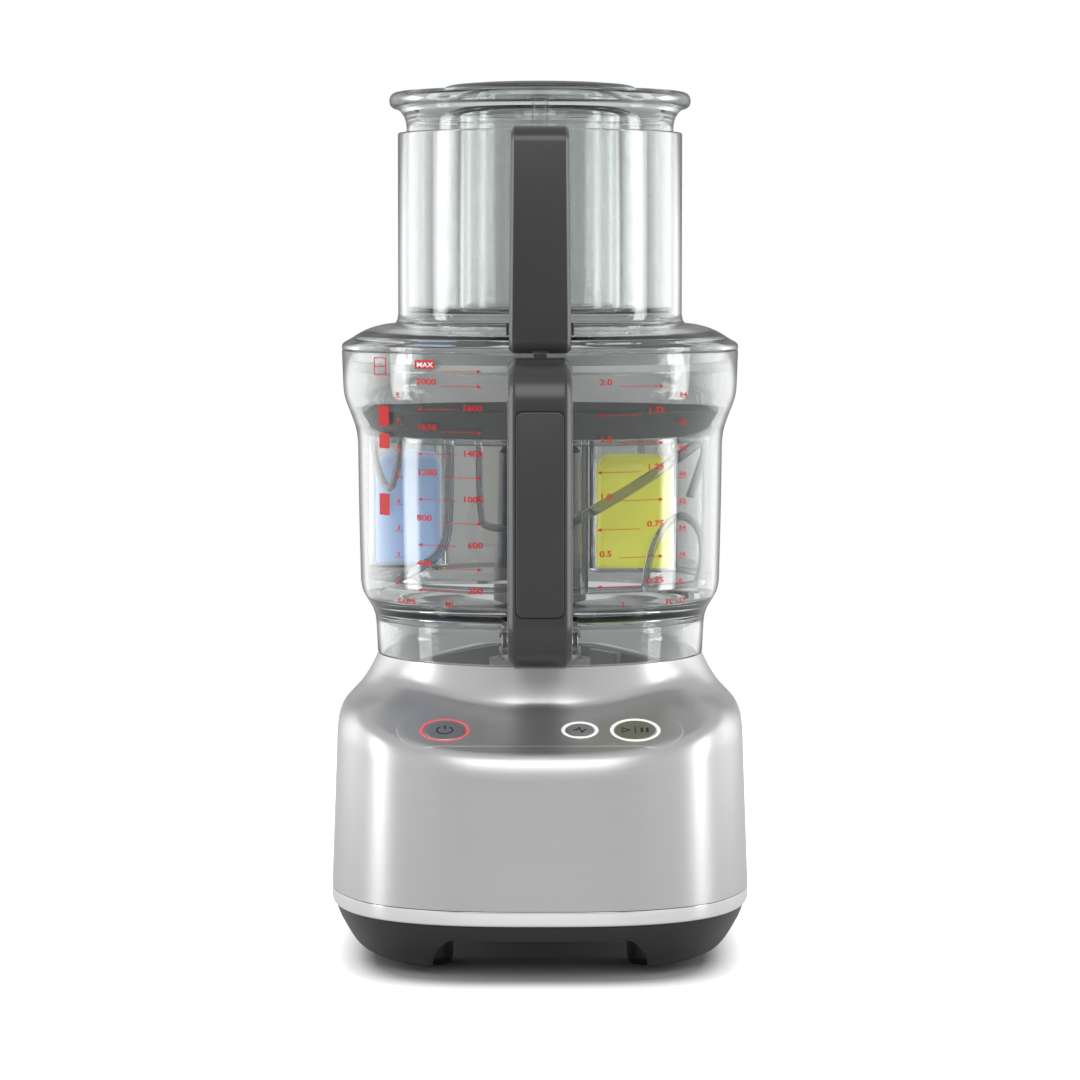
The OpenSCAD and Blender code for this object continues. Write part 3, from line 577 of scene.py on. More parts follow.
def control_panel():
    """The panel follows the housing: it stands a little proud, with a rolled edge all round."""
    levels = [(0.1, -1.8), (0.0, -0.25), (0.12, 0.05), (0.45, 0.24)]
    levels += [(inset, 0.3) for inset in (1, 3, 6, 9, 12, 14.5, 16.2)]
    verts = []
    for inset, height in levels:
        for u, v in stadium(PANEL_L, PANEL_W, inset):
            flat = on_panel(u, v, 0)
            verts.append((flat.x, flat.y, min(housing_z(flat.x, flat.y), flat.z + 0.4) + height))
    faces = closed_faces(len(levels), len(stadium(PANEL_L, PANEL_W)))
    obj = raw_object("control_panel_face", verts, faces)
    for x, r in BUTTONS.values():
        combine(obj, slab("hole", arc(x, 0, r + 0.05, 0, 360, 63)[:-1], -6, 6, on_panel))
    settle(obj, "base", "brushed_metal", ["control_panel"])
    stroke = obj.data.attributes.new("stroke", "FLOAT", "POINT")
    for i, v in enumerate(obj.data.vertices):
        stroke.data[i].value = (SPINDLE.y - v.co.y / MM) / math.cos(LEDGE_TILT)


def loft(name, ring_points, material, replaces):
    """A piece of the base from closed rings of points, the last joined to the first."""
    obj = raw_object(name, [p for ring in ring_points for p in ring],
                     grid_faces(len(ring_points), len(ring_points[0]), True))
    return settle(obj, "base", material, replaces)


def trim_band():
    around = 240
    low, high = (v.z for v in span("chrome_band"))
    profile = rounded([(0, high, 0.15), (0, low + 0.9, 0.4), (0.5, low, 0.4), (4.5, low, 0.2),
                       (4.5, high, 0.2)], 0.6)
    rings = [[(*plan_point(a, inset), z) for a in turns(around)] for inset, z in profile]
    loft("trim_band", rings, "chrome_trim", ["chrome_band"])


def foot_skirt():
    """The dark skirt under the band: it draws in towards the table and arches up between four corners."""
    around, levels, wall = 360, 16, 2.6
    low, top = (v.z for v in span("base_skirt"))
    arch_z, band_low = 19.0, span("chrome_band")[0].z

    def inset_at(z):
        t = (band_low - z) / (band_low - low)
        return 1.4 + 11 * t ** 1.25 + 9 * t ** 8

    def edge_z(p):
        front, side = soft((65 - abs(p.x)) / 25), soft((68 - abs(p.y - PLAN_Y)) / 26)
        return low + (arch_z - low) * max(front, side)

    def ring(k, inset):
        points = []
        for a in turns(around):
            z = top + (edge_z(plan_point(a)) - top) * k / levels
            points.append((*plan_point(a, inset_at(z) + inset), z))
        return points

    rings = [ring(k, 0) for k in range(levels + 1)] + [ring(levels, 0.7), ring(levels, wall - 0.7)]
    rings += [ring(k, wall) for k in range(levels, -1, -1)]
    loft("foot_skirt", rings, "skirt_plastic", ["base_skirt"])


def turned_on_panel(name, x, outline):
    """A turned piece that stands on the control panel at x, from a closed (radius, height) outline."""
    around = 96
    verts = [on_panel(x + radius * math.cos(a), radius * math.sin(a), height)
             for radius, height in outline for a in turns(around)]
    return raw_object(name, verts, grid_faces(len(outline), around, True))


def light_ring(name, key, material, nodes_replaced):
    """A light guide round a button, with a rounded top."""
    x, r = BUTTONS[key]
    outline = rounded([(r - 1.5, -2.4), (r, -2.4), (r, 0.55, 0.5), (r - 1.5, 0.55, 0.5)], 0.1)
    settle(turned_on_panel(name, x, outline), "base", material, nodes_replaced)


def button_cap(name, key, body):
    """A brushed cap with a slightly dished top and a rolled edge, on its stem."""
    x, r = BUTTONS[key]
    r -= 1.75
    outline = rounded([(0, -5.6), (2.4, -5.6), (2.4, -2), (r, -2), (r, 0.4, 0.5), (r * 0.72, 0.34, 2),
                       (r * 0.4, 0.27, 2), (0, 0.25)], 0.1)
    settle(turned_on_panel(name, x, outline), body, "button_metal", [key + "_button"])


def stroke_line(points, width):
    """The outline of an open line of even width."""
    left, right = [], []
    for i, p in enumerate(points):
        before, after = Vector(points[max(0, i - 1)]), Vector(points[min(len(points) - 1, i + 1)])
        along = (after - before).normalized()
        across = Vector((-along.y, along.x)) * width / 2
        left.append(tuple(Vector(p) + across))
        right.append(tuple(Vector(p) - across))
    return left + right[::-1]


def icon(name, key, body, outlines):
    """Printed signs on a button: thin raised shapes, drawn round the button's middle."""
    x, _ = BUTTONS[key]
    parts = [slab(f"{name}_{i}", [(x + u, v) for u, v in outline], 0.2, 0.43, on_panel)
             for i, outline in enumerate(outlines)]
    settle(join_into(name, parts), body, "dark_print")


def icons():
    power = [stroke_line(arc(0, -0.2, 3.6, 125, 415, 28), 0.8), stroke_line([(0, 0.8), (0, 4.4)], 0.8)]
    zigzag = [(-3.2, 0), (-1.4, 0), (-0.3, 2.6), (1.0, -2.4), (2.0, 0.4), (3.2, 0.4)]
    pulse = [stroke_line([a, b], 0.55) for a, b in zip(zigzag, zigzag[1:])]
    triangle = [(-5.9, -2.2), (-5.9, 2.2), (-2.4, 0)]
    start = [stroke_line([a, b], 0.5) for a, b in zip(triangle, triangle[1:] + triangle[:1])]
    start += [stroke_line([(0, -3.6), (0, 3.6)], 0.55)]
    start += [stroke_line([(u, -2.2), (u, 2.2)], 1.3) for u in (3.0, 5.4)]
    icon("power_sign", "power", "power_key", power)
    icon("pulse_sign", "pulse", "pulse_key", pulse)
    icon("start_sign", "start", "start_key", start)


# ---------- bowl

BOWL_OUTER = [
    (77.2, BOWL_LOW, 0.6), (77.8, 150, 3), (78.2, 154.5, 3), (79.4, 158.4, 3), (82.6, 163.6, 3),
    (84.4, 166.8, 3), (85.2, 171, 4), (86.0, 205, 20), (86.4, 238, 5), (87.2, 243.5, 4), (89.6, 250.4, 4),
    (91.6, 255.2, 3), (92.9, 259.6, 3), (93.3, 264, 3), (93.9, BOWL_TOP, 0.7)]
BOWL_WALL = 2.8
BOWL_FLOOR = 158.0


def bowl_radius(z):
    """Outer radius of the bowl at a height."""
    for (r0, z0, _), (r1, z1, _) in zip(BOWL_OUTER, BOWL_OUTER[1:]):
        if z0 <= z <= z1:
            return r0 + (r1 - r0) * (z - z0) / (z1 - z0)
    return BOWL_OUTER[-1][0] if z > BOWL_TOP else BOWL_OUTER[0][0]


def clear_bowl():
    """The bowl, with a tube up its middle for the spindle and two ears that hold the handle's foot."""
    wall, tube_r, tube_top = BOWL_WALL, 16.0, 212.0
    inside = [(r - wall, z, c) for r, z, c in reversed(BOWL_OUTER) if z > BOWL_FLOOR + 1]
    outline = BOWL_OUTER + inside + [
        (74.5, BOWL_FLOOR + wall, 2), (tube_r, BOWL_FLOOR + wall, 1.5), (tube_r - 0.4, tube_top, 1),
        (13, tube_top), (13, BOWL_FLOOR - 3), (tube_r, BOWL_FLOOR - 3), (tube_r, BOWL_FLOOR, 1),
        (74, BOWL_FLOOR, 1.5), (77.8 - wall, BOWL_FLOOR - 4, 2), (77.2 - wall, BOWL_LOW, 0.6)]
    obj = lathe("clear_bowl", rounded(outline), around=240)
    ear_outline = rounded([(-85, 141), (-75, 141), (-75, 158), (-85, 158)], 3, 6)
    for x in (-17.2, 14.8):
        combine(obj, bevel(slab("ear", ear_outline, x, x + 2.4, side_on), 0.5, 2), "UNION")
    combine(obj, slab("slot", [(-4, -90), (4, -90), (4, -70), (-4, -70)], 130, 151, upright))
    settle(obj, "bowl_group", "clear_plastic", ["bowl"])


def handle_outline():
    """Side view of the handle: top arm, upright and bottom arm."""
    front, back, top = HANDLE_FRONT, HANDLE_FRONT + 14, HANDLE_TOP
    outside = arc(front + 19, top - 19, 19, 90, 180, 16) + arc(front + 22, 161.5, 22, 180, 264, 16)
    inside = arc(back + 12, 172, 12, -90, -180, 10) + arc(back + 9, 252, 9, 180, 90, 10)
    foot = [(-92, 139.4), (-79.0, 139.4), (-79.0, 157), (-92, 159)]
    return [(-93.2, top)] + outside + foot + inside + [(-93.0, 261)]


def handle():
    """The bowl's handle and the soft pad let into its front."""
    half = HANDLE_W / 2
    obj = slab("handle_body", handle_outline(), -half, half, side_on)
    bevel(bevel(obj, 3.0, 1, 60), 0.9, 4, 30)
    low, high = span("handle_grip")

    def pad(name, spare, front, back):
        corners = [(low.x - spare, low.z - spare), (high.x + spare, low.z - spare),
                   (high.x + spare, high.z + spare), (low.x - spare, high.z + spare)]
        return slab(name, rounded(corners, 3.5, 8), front, back, lambda u, v, depth: (u, depth, v))

    combine(obj, pad("seat", 0.25, HANDLE_FRONT - 5, low.y + 2.9))
    settle(obj, "bowl_group", "dark_plastic", ["bowl_handle"])
    grip = bevel(pad("grip_pad", 0, low.y, high.y), 0.8, 4)
    settle(grip, "bowl_group", "grip_plastic", ["handle_grip"])


def flat_on_bowl(x, z, lift):
    """A point on the bowl's front, straight behind (x, z) as seen from the front."""
    r = bowl_radius(z) + lift
    return (x, -math.sqrt(max(r * r - x * x, 0)), z)


def print_text(words, x, z, height, stretch=1.2, align="LEFT", lift=0.0):
    """Figures of the printed scale, wrapped on the bowl."""
    data = bpy.data.curves.new("words", "FONT")
    data.body = words
    data.size = height / 0.72
    data.align_x = align
    data.extrude = 0.03
    data.offset = 0.028 * data.size
    data.resolution_u = 3
    text = in_scene("words", data)
    mesh = modified(text)
    verts = []
    for v in mesh.vertices:
        raised = lift + (0.06 if v.co.z > 0 else 0.02)
        verts.append(flat_on_bowl(x + v.co.x * stretch, z + v.co.y, raised))
    part = raw_object("words_mesh", verts, [tuple(p.vertices) for p in mesh.polygons])
    bpy.data.objects.remove(text)
    return part


def print_strip(x0, x1, z0, z1, steps=8):
    """A printed bar, wrapped on the bowl."""
    verts = []
    for lift in (0.02, 0.06):
        for i in range(steps + 1):
            x = x0 + (x1 - x0) * i / steps
            verts += [flat_on_bowl(x, z0, lift), flat_on_bowl(x, z1, lift)]
    side, faces = 2 * (steps + 1), []
    for i in range(steps):
        a = 2 * i
        faces += [(a, a + 1, a + 3, a + 2), (side + a, side + a + 2, side + a + 3, side + a + 1)]
        faces += [(a, a + 2, side + a + 2, side + a), (a + 1, side + a + 1, side + a + 3, a + 3)]
    faces += [(0, side, side + 1, 1), (side - 2, side - 1, 2 * side - 1, 2 * side - 2)]
    return raw_object("strip", verts, faces)


def arrow_head(x, z, point):
    """A small solid arrow head, pointing to +1 or -1."""
    corners = [(x, z + 0.9), (x, z - 0.9), (x + 2.0 * point, z)]
    verts = [flat_on_bowl(u, v, lift) for lift in (0.02, 0.06) for u, v in corners]
    return raw_object("arrow", verts, [(0, 1, 2), (3, 5, 4), (0, 3, 4, 1), (1, 4, 5, 2), (2, 5, 3, 0)])


def scale_print():
    """Millilitres on the left and litres on the right, on one even scale."""
    base_z, per_litre, line = 161.2, 52.2, 0.28
    parts = []

    def mark(words, z, words_x, words_up, align, x0, x1, arrow_x, point):
        parts.append(print_text(words, words_x, z + words_up, 2.7, 1.25, align))
        parts.append(print_strip(x0, x1, z - line / 2, z + line / 2))
        parts.append(arrow_head(arrow_x, z, point))

    for step in range(1, 11):
        side = (-26.0, -0.6, "RIGHT", -55.5, -38.0, -54.0, -1) if step % 2 else (
            -56.5, 0.8, "LEFT", -45.0, -27.5, -28.5, 1)
        mark(str(step * 200), base_z + per_litre * step * 0.2, *side)
    for step in range(1, 9):
        side = (57.0, 0.8, "RIGHT", 26.5, 46.0, 28.0, -1) if step % 2 else (
            27.0, 0.8, "LEFT", 36.0, 56.0, 54.5, 1)
        mark(f"{step * 0.25:.{1 + step % 2}f}", base_z + per_litre * step * 0.25, *side)
    for step in range(1, 10):
        z = base_z + per_litre * step * 0.2365
        if z < 272:
            parts.append(print_text(str(step), -66.0, z + 0.6, 2.0))
            parts.append(print_text(str(step * 8), 64.0, z + 0.6, 2.0))
            parts.append(print_strip(-67.0, -63.0, z - line / 2, z + line / 2, 2))
            parts.append(print_strip(63.0, 68.0, z - line / 2, z + line / 2, 2))
    for words, x in (("CUPS", -66.0), ("ML", -43.5), ("L", 37.5), ("FL OZ", 58.0)):
        parts.append(print_text(words, x, 164.6, 2.4, 1.1))
    parts.append(print_strip(-57.0, -48.0, 273.4, 277.4))
    parts.append(print_strip(-45.0, -27.5, 272.4, 272.4 + line))
    parts.append(arrow_head(-28.5, 272.5, 1))
    for low, high in ((236.0, 243.0), (246.5, 256.0), (205.0, 215.0)):
        parts.append(print_strip(-74.5, -69.5, low, high))
    low, high = 270.0, 277.8
    for x in (-76.5, -71.0):
        parts.append(print_strip(x, x + 0.5, low, high, 2))
    for z in (low, (low + high) / 2, high):
        parts.append(print_strip(-76.5, -70.5, z, z + 0.5, 3))
    settle(join_into("scale_print", parts), "bowl_group", "red_print")
    letters = print_text("MAX", -56.2, 274.3, 2.2, 1.15, lift=0.06)
    letters.name = "max_print"
    settle(letters, "bowl_group", "white_print")


# ---------- lid and pushers

TUBE_R = 39.0              # inner wall of the large pusher


def clear_lid():
    """The domed lid with its wide feed chute."""
    t, rim = 2.9, 93.9
    top = BOWL_TOP + 0.3
    dome = [(rim, top, 0.4), (rim, 283.2, 0.8), (92.6, 284.4, 0.8), (89, 286.4, 3), (85, 289, 3),
            (80, 291.2, 4), (73, 293, 4), (60, 293.8), (60, 293.8 - t), (73, 293 - t, 4), (79, 291.2 - t, 4),
            (84, 289 - t, 2), (86.7, 285.4, 1), (87, 284, 1), (87.2, 270.5, 0.6), (89.4, 270.5, 0.6),
            (89.4, top, 0.6)]
    lid = lathe("clear_lid", rounded(dome), around=240)
    chute = lathe("chute", rounded([
        (CHUTE_R - t, 289), (CHUTE_R + 1.8, 292.8), (CHUTE_R + 0.6, 294.4, 1), (CHUTE_R, 297, 2),
        (CHUTE_R, CHUTE_TOP, 1.1), (CHUTE_R - t, CHUTE_TOP, 1.1)]), CHUTE_Y, 216)
    combine(lid, lathe("bore", [(0, 250), (CHUTE_R - t + 0.05, 250), (CHUTE_R - t + 0.05, 330), (0, 330)],
                       CHUTE_Y, 216))
    combine(lid, chute, "UNION")
    settle(lid, "lid_group", "clear_plastic", ["lid"])


def rod_housing():
    """The dark column on the front of the chute, a little wider at its foot."""
    front, low, top = HOUSING_FRONT, HOUSING_LOW, HOUSING_TOP
    foot = [(front, low + 8), (front + 0.8, low + 2.5), (front + 2.4, low), (-94.3, low), (-94.3, 284.4)]
    over_dome = [(-92.6, 285.3), (-89, 287.3), (-85, 289.9), (-80, 292.1), (-73, 293.9), (-65, 295),
                 (-62, 297.4), (-60, 300)]
    outline = [(-60, top)] + arc(front + 7, top - 7, 7, 90, 180, 10) + foot + over_dome
    half = span("rod_housing")[1].x
    obj = slab("lid_rod_housing", outline, -half, half, side_on)
    bevel(bevel(obj, 2.4, 1, 60), 0.8, 4, 30)
    for v in obj.data.vertices:
        z = v.co.z / MM
        v.co.x *= 0.93 + 0.07 * soft((top - z) / 85)
    rod_way = [(-4.6, -71.6), (4.6, -71.6), (4.6, -64), (-4.6, -64)]
    combine(obj, slab("slot", rod_way, top - 40, top + 5, upright))
    combine(obj, lathe("chute_space", [(0, 290), (CHUTE_R + 0.05, 290), (CHUTE_R + 0.05, 400), (0, 400)],
                       CHUTE_Y, 216))
    settle(obj, "lid_group", "dark_plastic", ["rod_housing"])


def large_pusher():
    """The large pusher, a double-walled cup with a flanged rim, and the tab that works the rods."""
    t, low, body_r = 2.3, span("pusher")[0].z, 63.1
    outline = [
        (TUBE_R - t, low), (body_r - 1, low, 0.8), (body_r, low + 1), (body_r + 0.1, 386.5, 3),
        (64.2, 390.6, 3), (66.8, 393.8, 3), (69.6, 394.6, 2), (71.0, 395.8, 1.2), (71.5, 398, 1.2),
        (70.8, 400.6, 1.2), (68.8, 401.9, 1.2), (66, 402, 1.5), (63.6, 400.4, 2), (61.8, 397.4, 3),
        (60.9, 392, 3), (60.8, low + t, 1), (TUBE_R, low + t, 1), (TUBE_R, 400.2, 0.8),
        (TUBE_R - t, 400.2, 0.8)]
    pusher = lathe("clear_pusher", rounded(outline), CHUTE_Y, 216)
    settle(pusher, "pusher_group", "clear_plastic", ["pusher"])
    tab = [(-3.9, -68.4), (-2.5, -68.4), (-2.5, -65.6), (2.5, -65.6), (2.5, -68.4), (3.9, -68.4),
           (3.9, -64.6), (-3.9, -64.6)]
    tab_piece = slab("pusher_tab", rounded(tab, 0.3, 2), 371.4, 396.4, upright)
    settle(tab_piece, "pusher_group", "tab_plastic")


def small_pusher():
    """The small pusher, a cup in the large one's tube, and its smoke-grey cap."""
    r, t, low = TUBE_R - 2.3 - 1, 2.2, span("small_pusher")[0].z
    cup = lathe("clear_small_pusher", rounded([
        (0, low), (r, low, 1.2), (r, 400.6, 0.6), (43, 400.6, 0.5), (43, 402.6, 0.5), (r - t, 402.6, 0.5),
        (r - t, low + t, 1), (0, low + t)]), CHUTE_Y, 160)
    settle(cup, "small_pusher_group", "clear_plastic", ["small_pusher"])
    top = span("small_pusher_cap")[1].z
    r = span("small_pusher_cap")[1].x
    cap = lathe("small_pusher_cap_top", rounded([
        (0, 402.6), (r - 1.2, 402.6, 0.6), (r, 403.4, 0.6), (r - 0.6, 404.6, 0.6), (r - 3, 405.3, 2),
        (30, top - 0.25, 8), (0, top)]), CHUTE_Y, 160)
    settle(cap, "small_pusher_group", "smoke_plastic", ["small_pusher_cap"])


# ---------- storage caddy in the bowl

CADDY_R = 81.8
CADDY_T = 2.0
PLATE_Z = 241.4
# ribs of the caddy's round wall: a line drawn from the front, as (x, z), and a width
RIBS = [
    ([(-41, 241), (-41, 205), (-43, 192), (-52, 182), (-74, 171)], 4.4),
    ([(-27.5, 241), (-27.5, 206), (-24, 200.5), (-8, 200.5)], 3.2),
    ([(10, 202), (20, 206.5), (50, 223.5), (77, 241)], 4.8),
    ([(73, 241), (77.5, 236), (73, 225), (68.5, 213)], 4.0),
    ([(-77.5, 241), (-77, 230), (-69, 214), (-65, 226), (-63, 241)], 3.4),
    ([(47.6, 171), (48.5, 190), (62, 207), (73, 200), (76.5, 184), (72, 171)], 3.6),
    ([(20, 241), (20, 215), (20, 195), (20, 171)], 3.6),
]


def smooth_line(points, steps=10):
    """A smooth curve that starts and ends on its control points."""
    at = [Vector(p) for p in points]
    last, out = len(at) - 1, []
    for i in range(1, last):
        a = at[0] if i == 1 else (at[i - 1] + at[i]) / 2
        b = at[last] if i == last - 1 else (at[i] + at[i + 1]) / 2
        out += [(1 - s / steps) ** 2 * a + 2 * s / steps * (1 - s / steps) * at[i] + (s / steps) ** 2 * b
                for s in range(steps)]
    return out + [at[last]]


def caddy_rib(points, width, turn):
    """A rib of the caddy's round wall along a line that is drawn from the front as (x, z)."""
    line = smooth_line(points)
    half, deep = width / 2, CADDY_T + 1.6
    section = rounded([(-half, 0), (half, 0), (half, deep), (-half, deep)], 0.7, 3)
    verts = []
    for i, p in enumerate(line):
        along = (line[min(i + 1, len(line) - 1)] - line[max(i - 1, 0)]).normalized()
        for across, depth in section:
            x, z = p.x - along.y * across, p.y + along.x * across
            r = CADDY_R - depth
            x = max(-r + 1.5, min(r - 1.5, x))
            verts.append((x * turn, -math.sqrt(r * r - x * x) * turn, min(z, PLATE_Z - 0.1)))
    return raw_object("rib", verts, closed_faces(len(line), len(section)))


def soft_plan(cx, cy, w, d, r, steps=8):
    """A rounded rectangle in plan."""
    out = []
    for sx, sy, start in ((1, 1, 0), (-1, 1, 90), (-1, -1, 180), (1, -1, 270)):
        out += arc(cx + sx * (w / 2 - r), cy + sy * (d / 2 - r), r, start, start + 90, steps)
    return out


def storage_caddy():
    """Two pockets that hang from a plate, and the open round wall under the plate."""
    low, high = CADDY_R - CADDY_T, CADDY_R
    plate = lathe("caddy_plate", rounded([(27, PLATE_Z), (81.2, PLATE_Z, 0.6), (81.2, PLATE_Z + 2, 0.6),
                                          (27, PLATE_Z + 2, 0.8)]), around=160)
    window = arc(0, 0, 72, 35, 145, 20) + arc(0, 0, 34, 145, 35, 12)
    combine(plate, slab("window", window, PLATE_Z - 1, PLATE_Z + 4, upright))
    pockets = []
    for name, piece in (("blue_cover", "caddy_shell"), ("lime_cover", "pocket")):
        a, b = span(name)
        cx, cy, w, d = (a.x + b.x) / 2, (a.y + b.y) / 2, b.x - a.x, b.y - a.y
        combine(plate, slab("mouth", soft_plan(cx, cy, w + 2, d + 2, 5.5), PLATE_Z - 1, PLATE_Z + 4, upright))
        pocket = slab(piece, soft_plan(cx, cy, w + 5, d + 5, 7), a.z - 2.1, PLATE_Z - 0.1, upright)
        bevel(pocket, 1.2, 3, 50)
        combine(pocket, slab("room", soft_plan(cx, cy, w + 2, d + 2, 5.5), a.z - 0.5, PLATE_Z + 4, upright))
        whole = lathe("whole", [(0, 170), (CADDY_R - 0.1, 170), (CADDY_R - 0.1, 250), (0, 250)], around=160)
        combine(pocket, whole, "INTERSECT")
        pockets.append(pocket)
    combine(*pockets, "UNION")
    settle(pockets[0], "caddy", "clear_plastic", ["storage_caddy"])
    settle(plate, "caddy", "smoke_plastic")
    ribs = [caddy_rib(points, width, 1) for points, width in RIBS]
    ribs += [caddy_rib([(x, 241), (x, 215), (x, 195), (x, 171)], 4, -1) for x in (-50, 50)]
    for z0, z1 in ((171, 174), (PLATE_Z - 3, PLATE_Z - 0.2)):
        ribs.append(lathe("hoop", rounded([(low, z0), (high, z0), (high, z1), (low, z1)], 0.5), around=160))
    settle(join_into("caddy_ribs", ribs), "caddy", "caddy_plastic")


def cover(name, node_name, crown, material):
    """A soft-cornered cover with a crowned top."""
    low, high = span(node_name)
    cx, cy = (low.x + high.x) / 2, (low.y + high.y) / 2
    hx, hy = (high.x - low.x) / 2, (high.y - low.y) / 2
    rings, around = [], 72
    shoulder = high.z - low.z - crown
    levels = [(0.06, 0.0), (0.02, 0.6), (0.0, 2.5), (0.0, shoulder)]
    for a in (math.radians(degrees) for degrees in (20, 40, 60, 75, 90)):
        levels.append((0.352 * (1 - math.cos(a)), shoulder + crown * math.sin(a)))
    for inset, z in levels:
        ring = []
        for a in turns(around):
            c, s = math.cos(a), math.sin(a)
            ring.append((cx + math.copysign(abs(c) ** 0.5, c) * hx * (1 - inset),
                         cy + math.copysign(abs(s) ** 0.5, s) * hy * (1 - inset), low.z + z))
        rings.append(ring)
    obj = raw_object(name, [p for ring in rings for p in ring], closed_faces(len(rings), around))
    settle(obj, "caddy", material, [node_name])


# ---------- carried-over CAD nodes

def dress_cad():
    """The CAD nodes that show as they are get their slot's material, or their own. Only a modelled
    shell carries the stroke attribute, so brushed nodes get the buttons' metal."""
    slot_of_node = {s["node"]: s["material_slot"] for s in frame["record"]["subparts"]}
    for name, obj in nodes.items():
        obj.data.materials.clear()
        look = LOOK_OF_NODE.get(name, slot_of_node[name])
        obj.data.materials.append(MATERIALS["button_metal" if look == "brushed_metal" else look])


# ---------- camera, light and floor

# level of the room's walls by the angle from straight behind the machine, as shares of ROOM_LEVEL
ROOM = [(0, 0.05), (22, 0.062), (44, 0.12), (83, 0.10), (84.5, 0.85), (95.5, 0.85), (97, 0.05), (112, 0.18),
        (130, 0.27), (146, 0.20), (160, 0.07), (170, 0.036), (180, 0.033)]
CEILING = 0.092
ROOM_LEVEL = 8.0
PAPER = (0.44, 0.44, 0.44)
PAINTED_SHADOW_X, PAINTED_SHADOW_Y = 0.085, 0.112    # half sizes, in metres, of the painted shadow round the machine's foot on the floor


def camera():
    data = bpy.data.cameras.new("camera")
    data.lens, data.sensor_width = 125.6, 36.0
    data.clip_end = 50
    obj = in_scene("camera", data)
    obj.location = Vector((0, -1.79, 0.318)) + SPINDLE * MM
    aim = Vector((0, 0, 0.190)) + SPINDLE * MM - obj.location
    obj.rotation_euler = aim.to_track_quat("-Z", "Y").to_euler()
    bpy.context.scene.camera = obj


def soft_box(name, place, aim, width, height, power):
    data = bpy.data.lights.new(name, "AREA")
    data.shape, data.size, data.size_y, data.energy = "RECTANGLE", width, height, power
    obj = in_scene(name, data)
    obj.location = place
    obj.rotation_euler = (Vector(aim) - Vector(place)).to_track_quat("-Z", "Y").to_euler()


def studio_walls():
    """White paper to look at. What the machine reflects and refracts is a grey room with a tall narrow
    soft box at each side, paler quarters in front of those and a dim middle."""
    world = bpy.data.worlds.new("studio")
    bpy.context.scene.world = world
    world.use_nodes = True
    tree = world.node_tree
    back = next(n for n in tree.nodes if n.type == "BACKGROUND")
    coords = node(tree, "ShaderNodeTexCoord")
    split = node(tree, "ShaderNodeSeparateXYZ")
    tree.links.new(coords.outputs["Generated"], split.inputs["Vector"])
    x, y, z = (split.outputs[k] for k in "XYZ")
    bearing = maths(tree, "ARCTAN2", x, maths(tree, "MULTIPLY", y, -1))
    turn = maths(tree, "DIVIDE", maths(tree, "ABSOLUTE", bearing), math.pi)
    round_about = ramp(tree, turn, [(degrees / 180, level) for degrees, level in ROOM])
    high_up = node(tree, "ShaderNodeMapRange", interpolation_type="SMOOTHSTEP")
    high_up.inputs["From Min"].default_value, high_up.inputs["From Max"].default_value = 0.3, 0.5
    tree.links.new(z, high_up.inputs["Value"])
    ceiling = node(tree, "ShaderNodeMix", data_type="RGBA")
    ceiling.inputs["B"].default_value = (*[CEILING] * 3, 1)
    tree.links.new(high_up.outputs["Result"], ceiling.inputs["Factor"])
    tree.links.new(round_about, ceiling.inputs["A"])
    seen = node(tree, "ShaderNodeMix", data_type="RGBA")
    seen.inputs["B"].default_value = (*[1 / ROOM_LEVEL] * 3, 1)
    path = node(tree, "ShaderNodeLightPath")
    tree.links.new(path.outputs["Is Camera Ray"], seen.inputs["Factor"])
    tree.links.new(ceiling.outputs["Result"], seen.inputs["A"])
    tree.links.new(seen.outputs["Result"], back.inputs["Color"])
    back.inputs["Strength"].default_value = ROOM_LEVEL


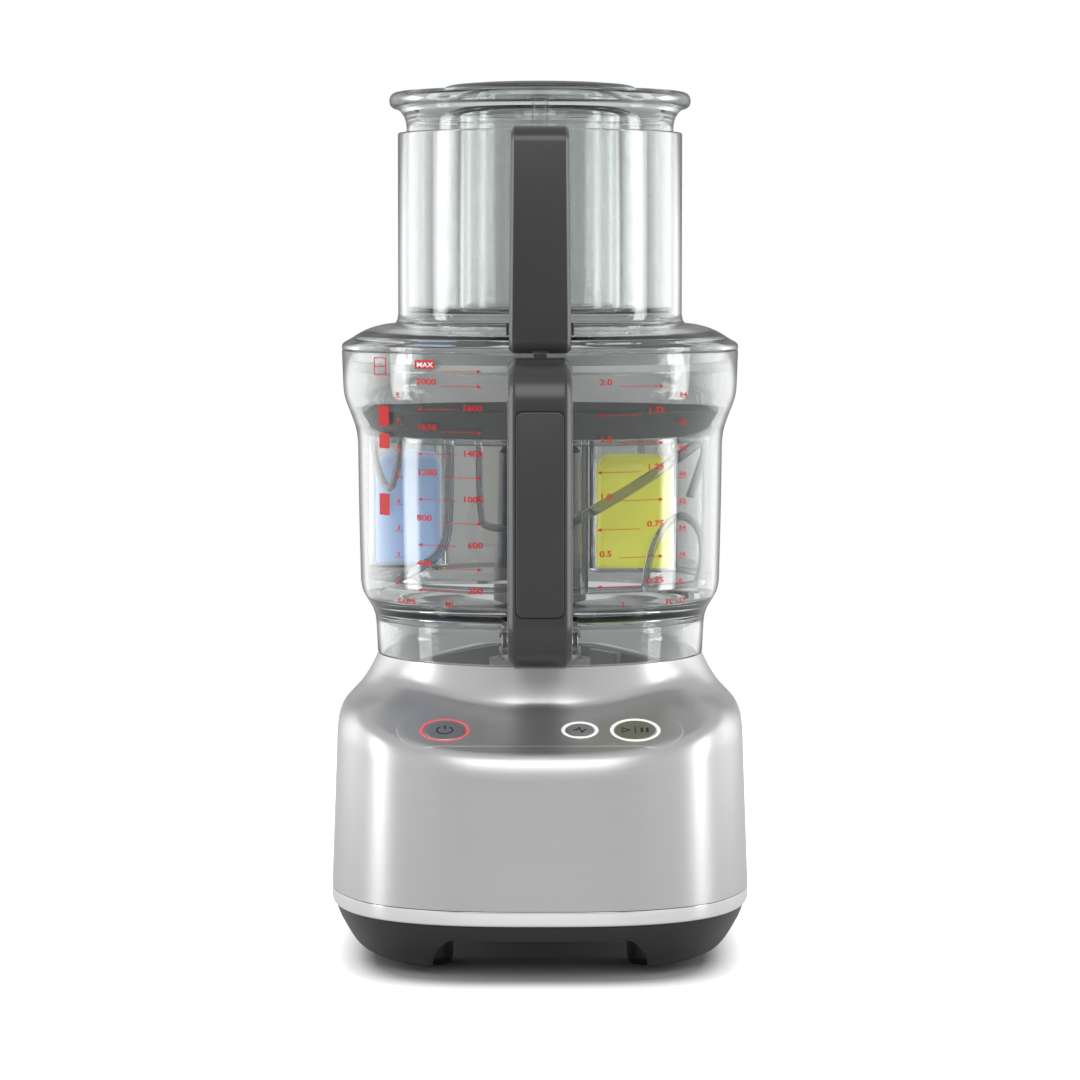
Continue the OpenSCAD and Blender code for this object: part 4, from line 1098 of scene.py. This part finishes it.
def studio():
    studio_walls()
    soft_box("top_box", (0, -1.6, 1.1), (0, 0, 0.12), 1.4, 1.0, 13)
    size, steps = 900.0, 64
    verts = [(size * math.cos(a), size * math.sin(a), 0) for a in turns(steps)]
    floor = raw_object("floor", verts, [tuple(range(steps))])
    floor.data.materials.append(floor_material())
    scene = bpy.context.scene
    scene.view_settings.view_transform = "Standard"
    scene.cycles.max_bounces = 40
    scene.cycles.transmission_bounces = 40
    scene.cycles.transparent_max_bounces = 32


def floor_material():
    """Paper that glows, but not where the machine stands: the dark patch round the machine's foot is partly its
    real shadow on the paper and partly painted shadow, where the glow fades out. The machine itself sees a quarter
    of the glow."""
    mat, tree, shader = new_material("floor_paper")
    varied_colour(tree, shader, noise(tree, object_coords(tree), 3), PAPER, 0.02 / 0.44, 0.02 / 0.44)
    shader.inputs["Roughness"].default_value = 0.6
    coords = node(tree, "ShaderNodeTexCoord")
    split = node(tree, "ShaderNodeSeparateXYZ")
    tree.links.new(coords.outputs["Object"], split.inputs["Vector"])
    # how far out from the machine's foot a point of the floor lies, for the painted shadow
    parts = [maths(tree, "ABSOLUTE", maths(tree, "DIVIDE", split.outputs[axis], reach))
             for axis, reach in (("X", PAINTED_SHADOW_X), ("Y", PAINTED_SHADOW_Y))]
    across, along = (maths(tree, "POWER", part, 4) for part in parts)
    outline = maths(tree, "POWER", maths(tree, "ADD", across, along), 0.25)
    shader.inputs["Emission Color"].default_value = (1, 1, 1, 1)
    # painted shadow: the glow ramps down to nothing round the machine's foot
    glow_and_painted_shadow = ramp(tree, maths(tree, "MULTIPLY", outline, 0.2), [
        (0.0, 0.0), (0.18, 0.0), (0.192, 0.2), (0.2, 0.4), (0.218, 0.72), (0.226, 0.85), (0.24, 0.95),
        (0.3, 1.0)])
    path = node(tree, "ShaderNodeLightPath")
    share = maths(tree, "MULTIPLY_ADD", path.outputs["Is Camera Ray"], 0.75)
    share.node.inputs[2].default_value = 0.25
    tree.links.new(maths(tree, "MULTIPLY", glow_and_painted_shadow, share), shader.inputs["Emission Strength"])
    return mat


camera()
studio()
dress_cad()
motor_housing()
control_panel()
trim_band()
foot_skirt()
light_ring("power_light_ring", "power", "red_light", ["power_ring"])
light_ring("pulse_light_ring", "pulse", "white_light", ["button_rings"])
light_ring("start_light_ring", "start", "white_light", [])
for button in BUTTONS:
    button_cap(button + "_cap", button, button + "_key")
icons()
clear_bowl()
handle()
scale_print()
clear_lid()
rod_housing()
large_pusher()
small_pusher()
storage_caddy()
cover("blue_blade_cover", "blue_cover", 9, "blue_plastic")
cover("lime_blade_cover", "lime_cover", 7, "lime_plastic")
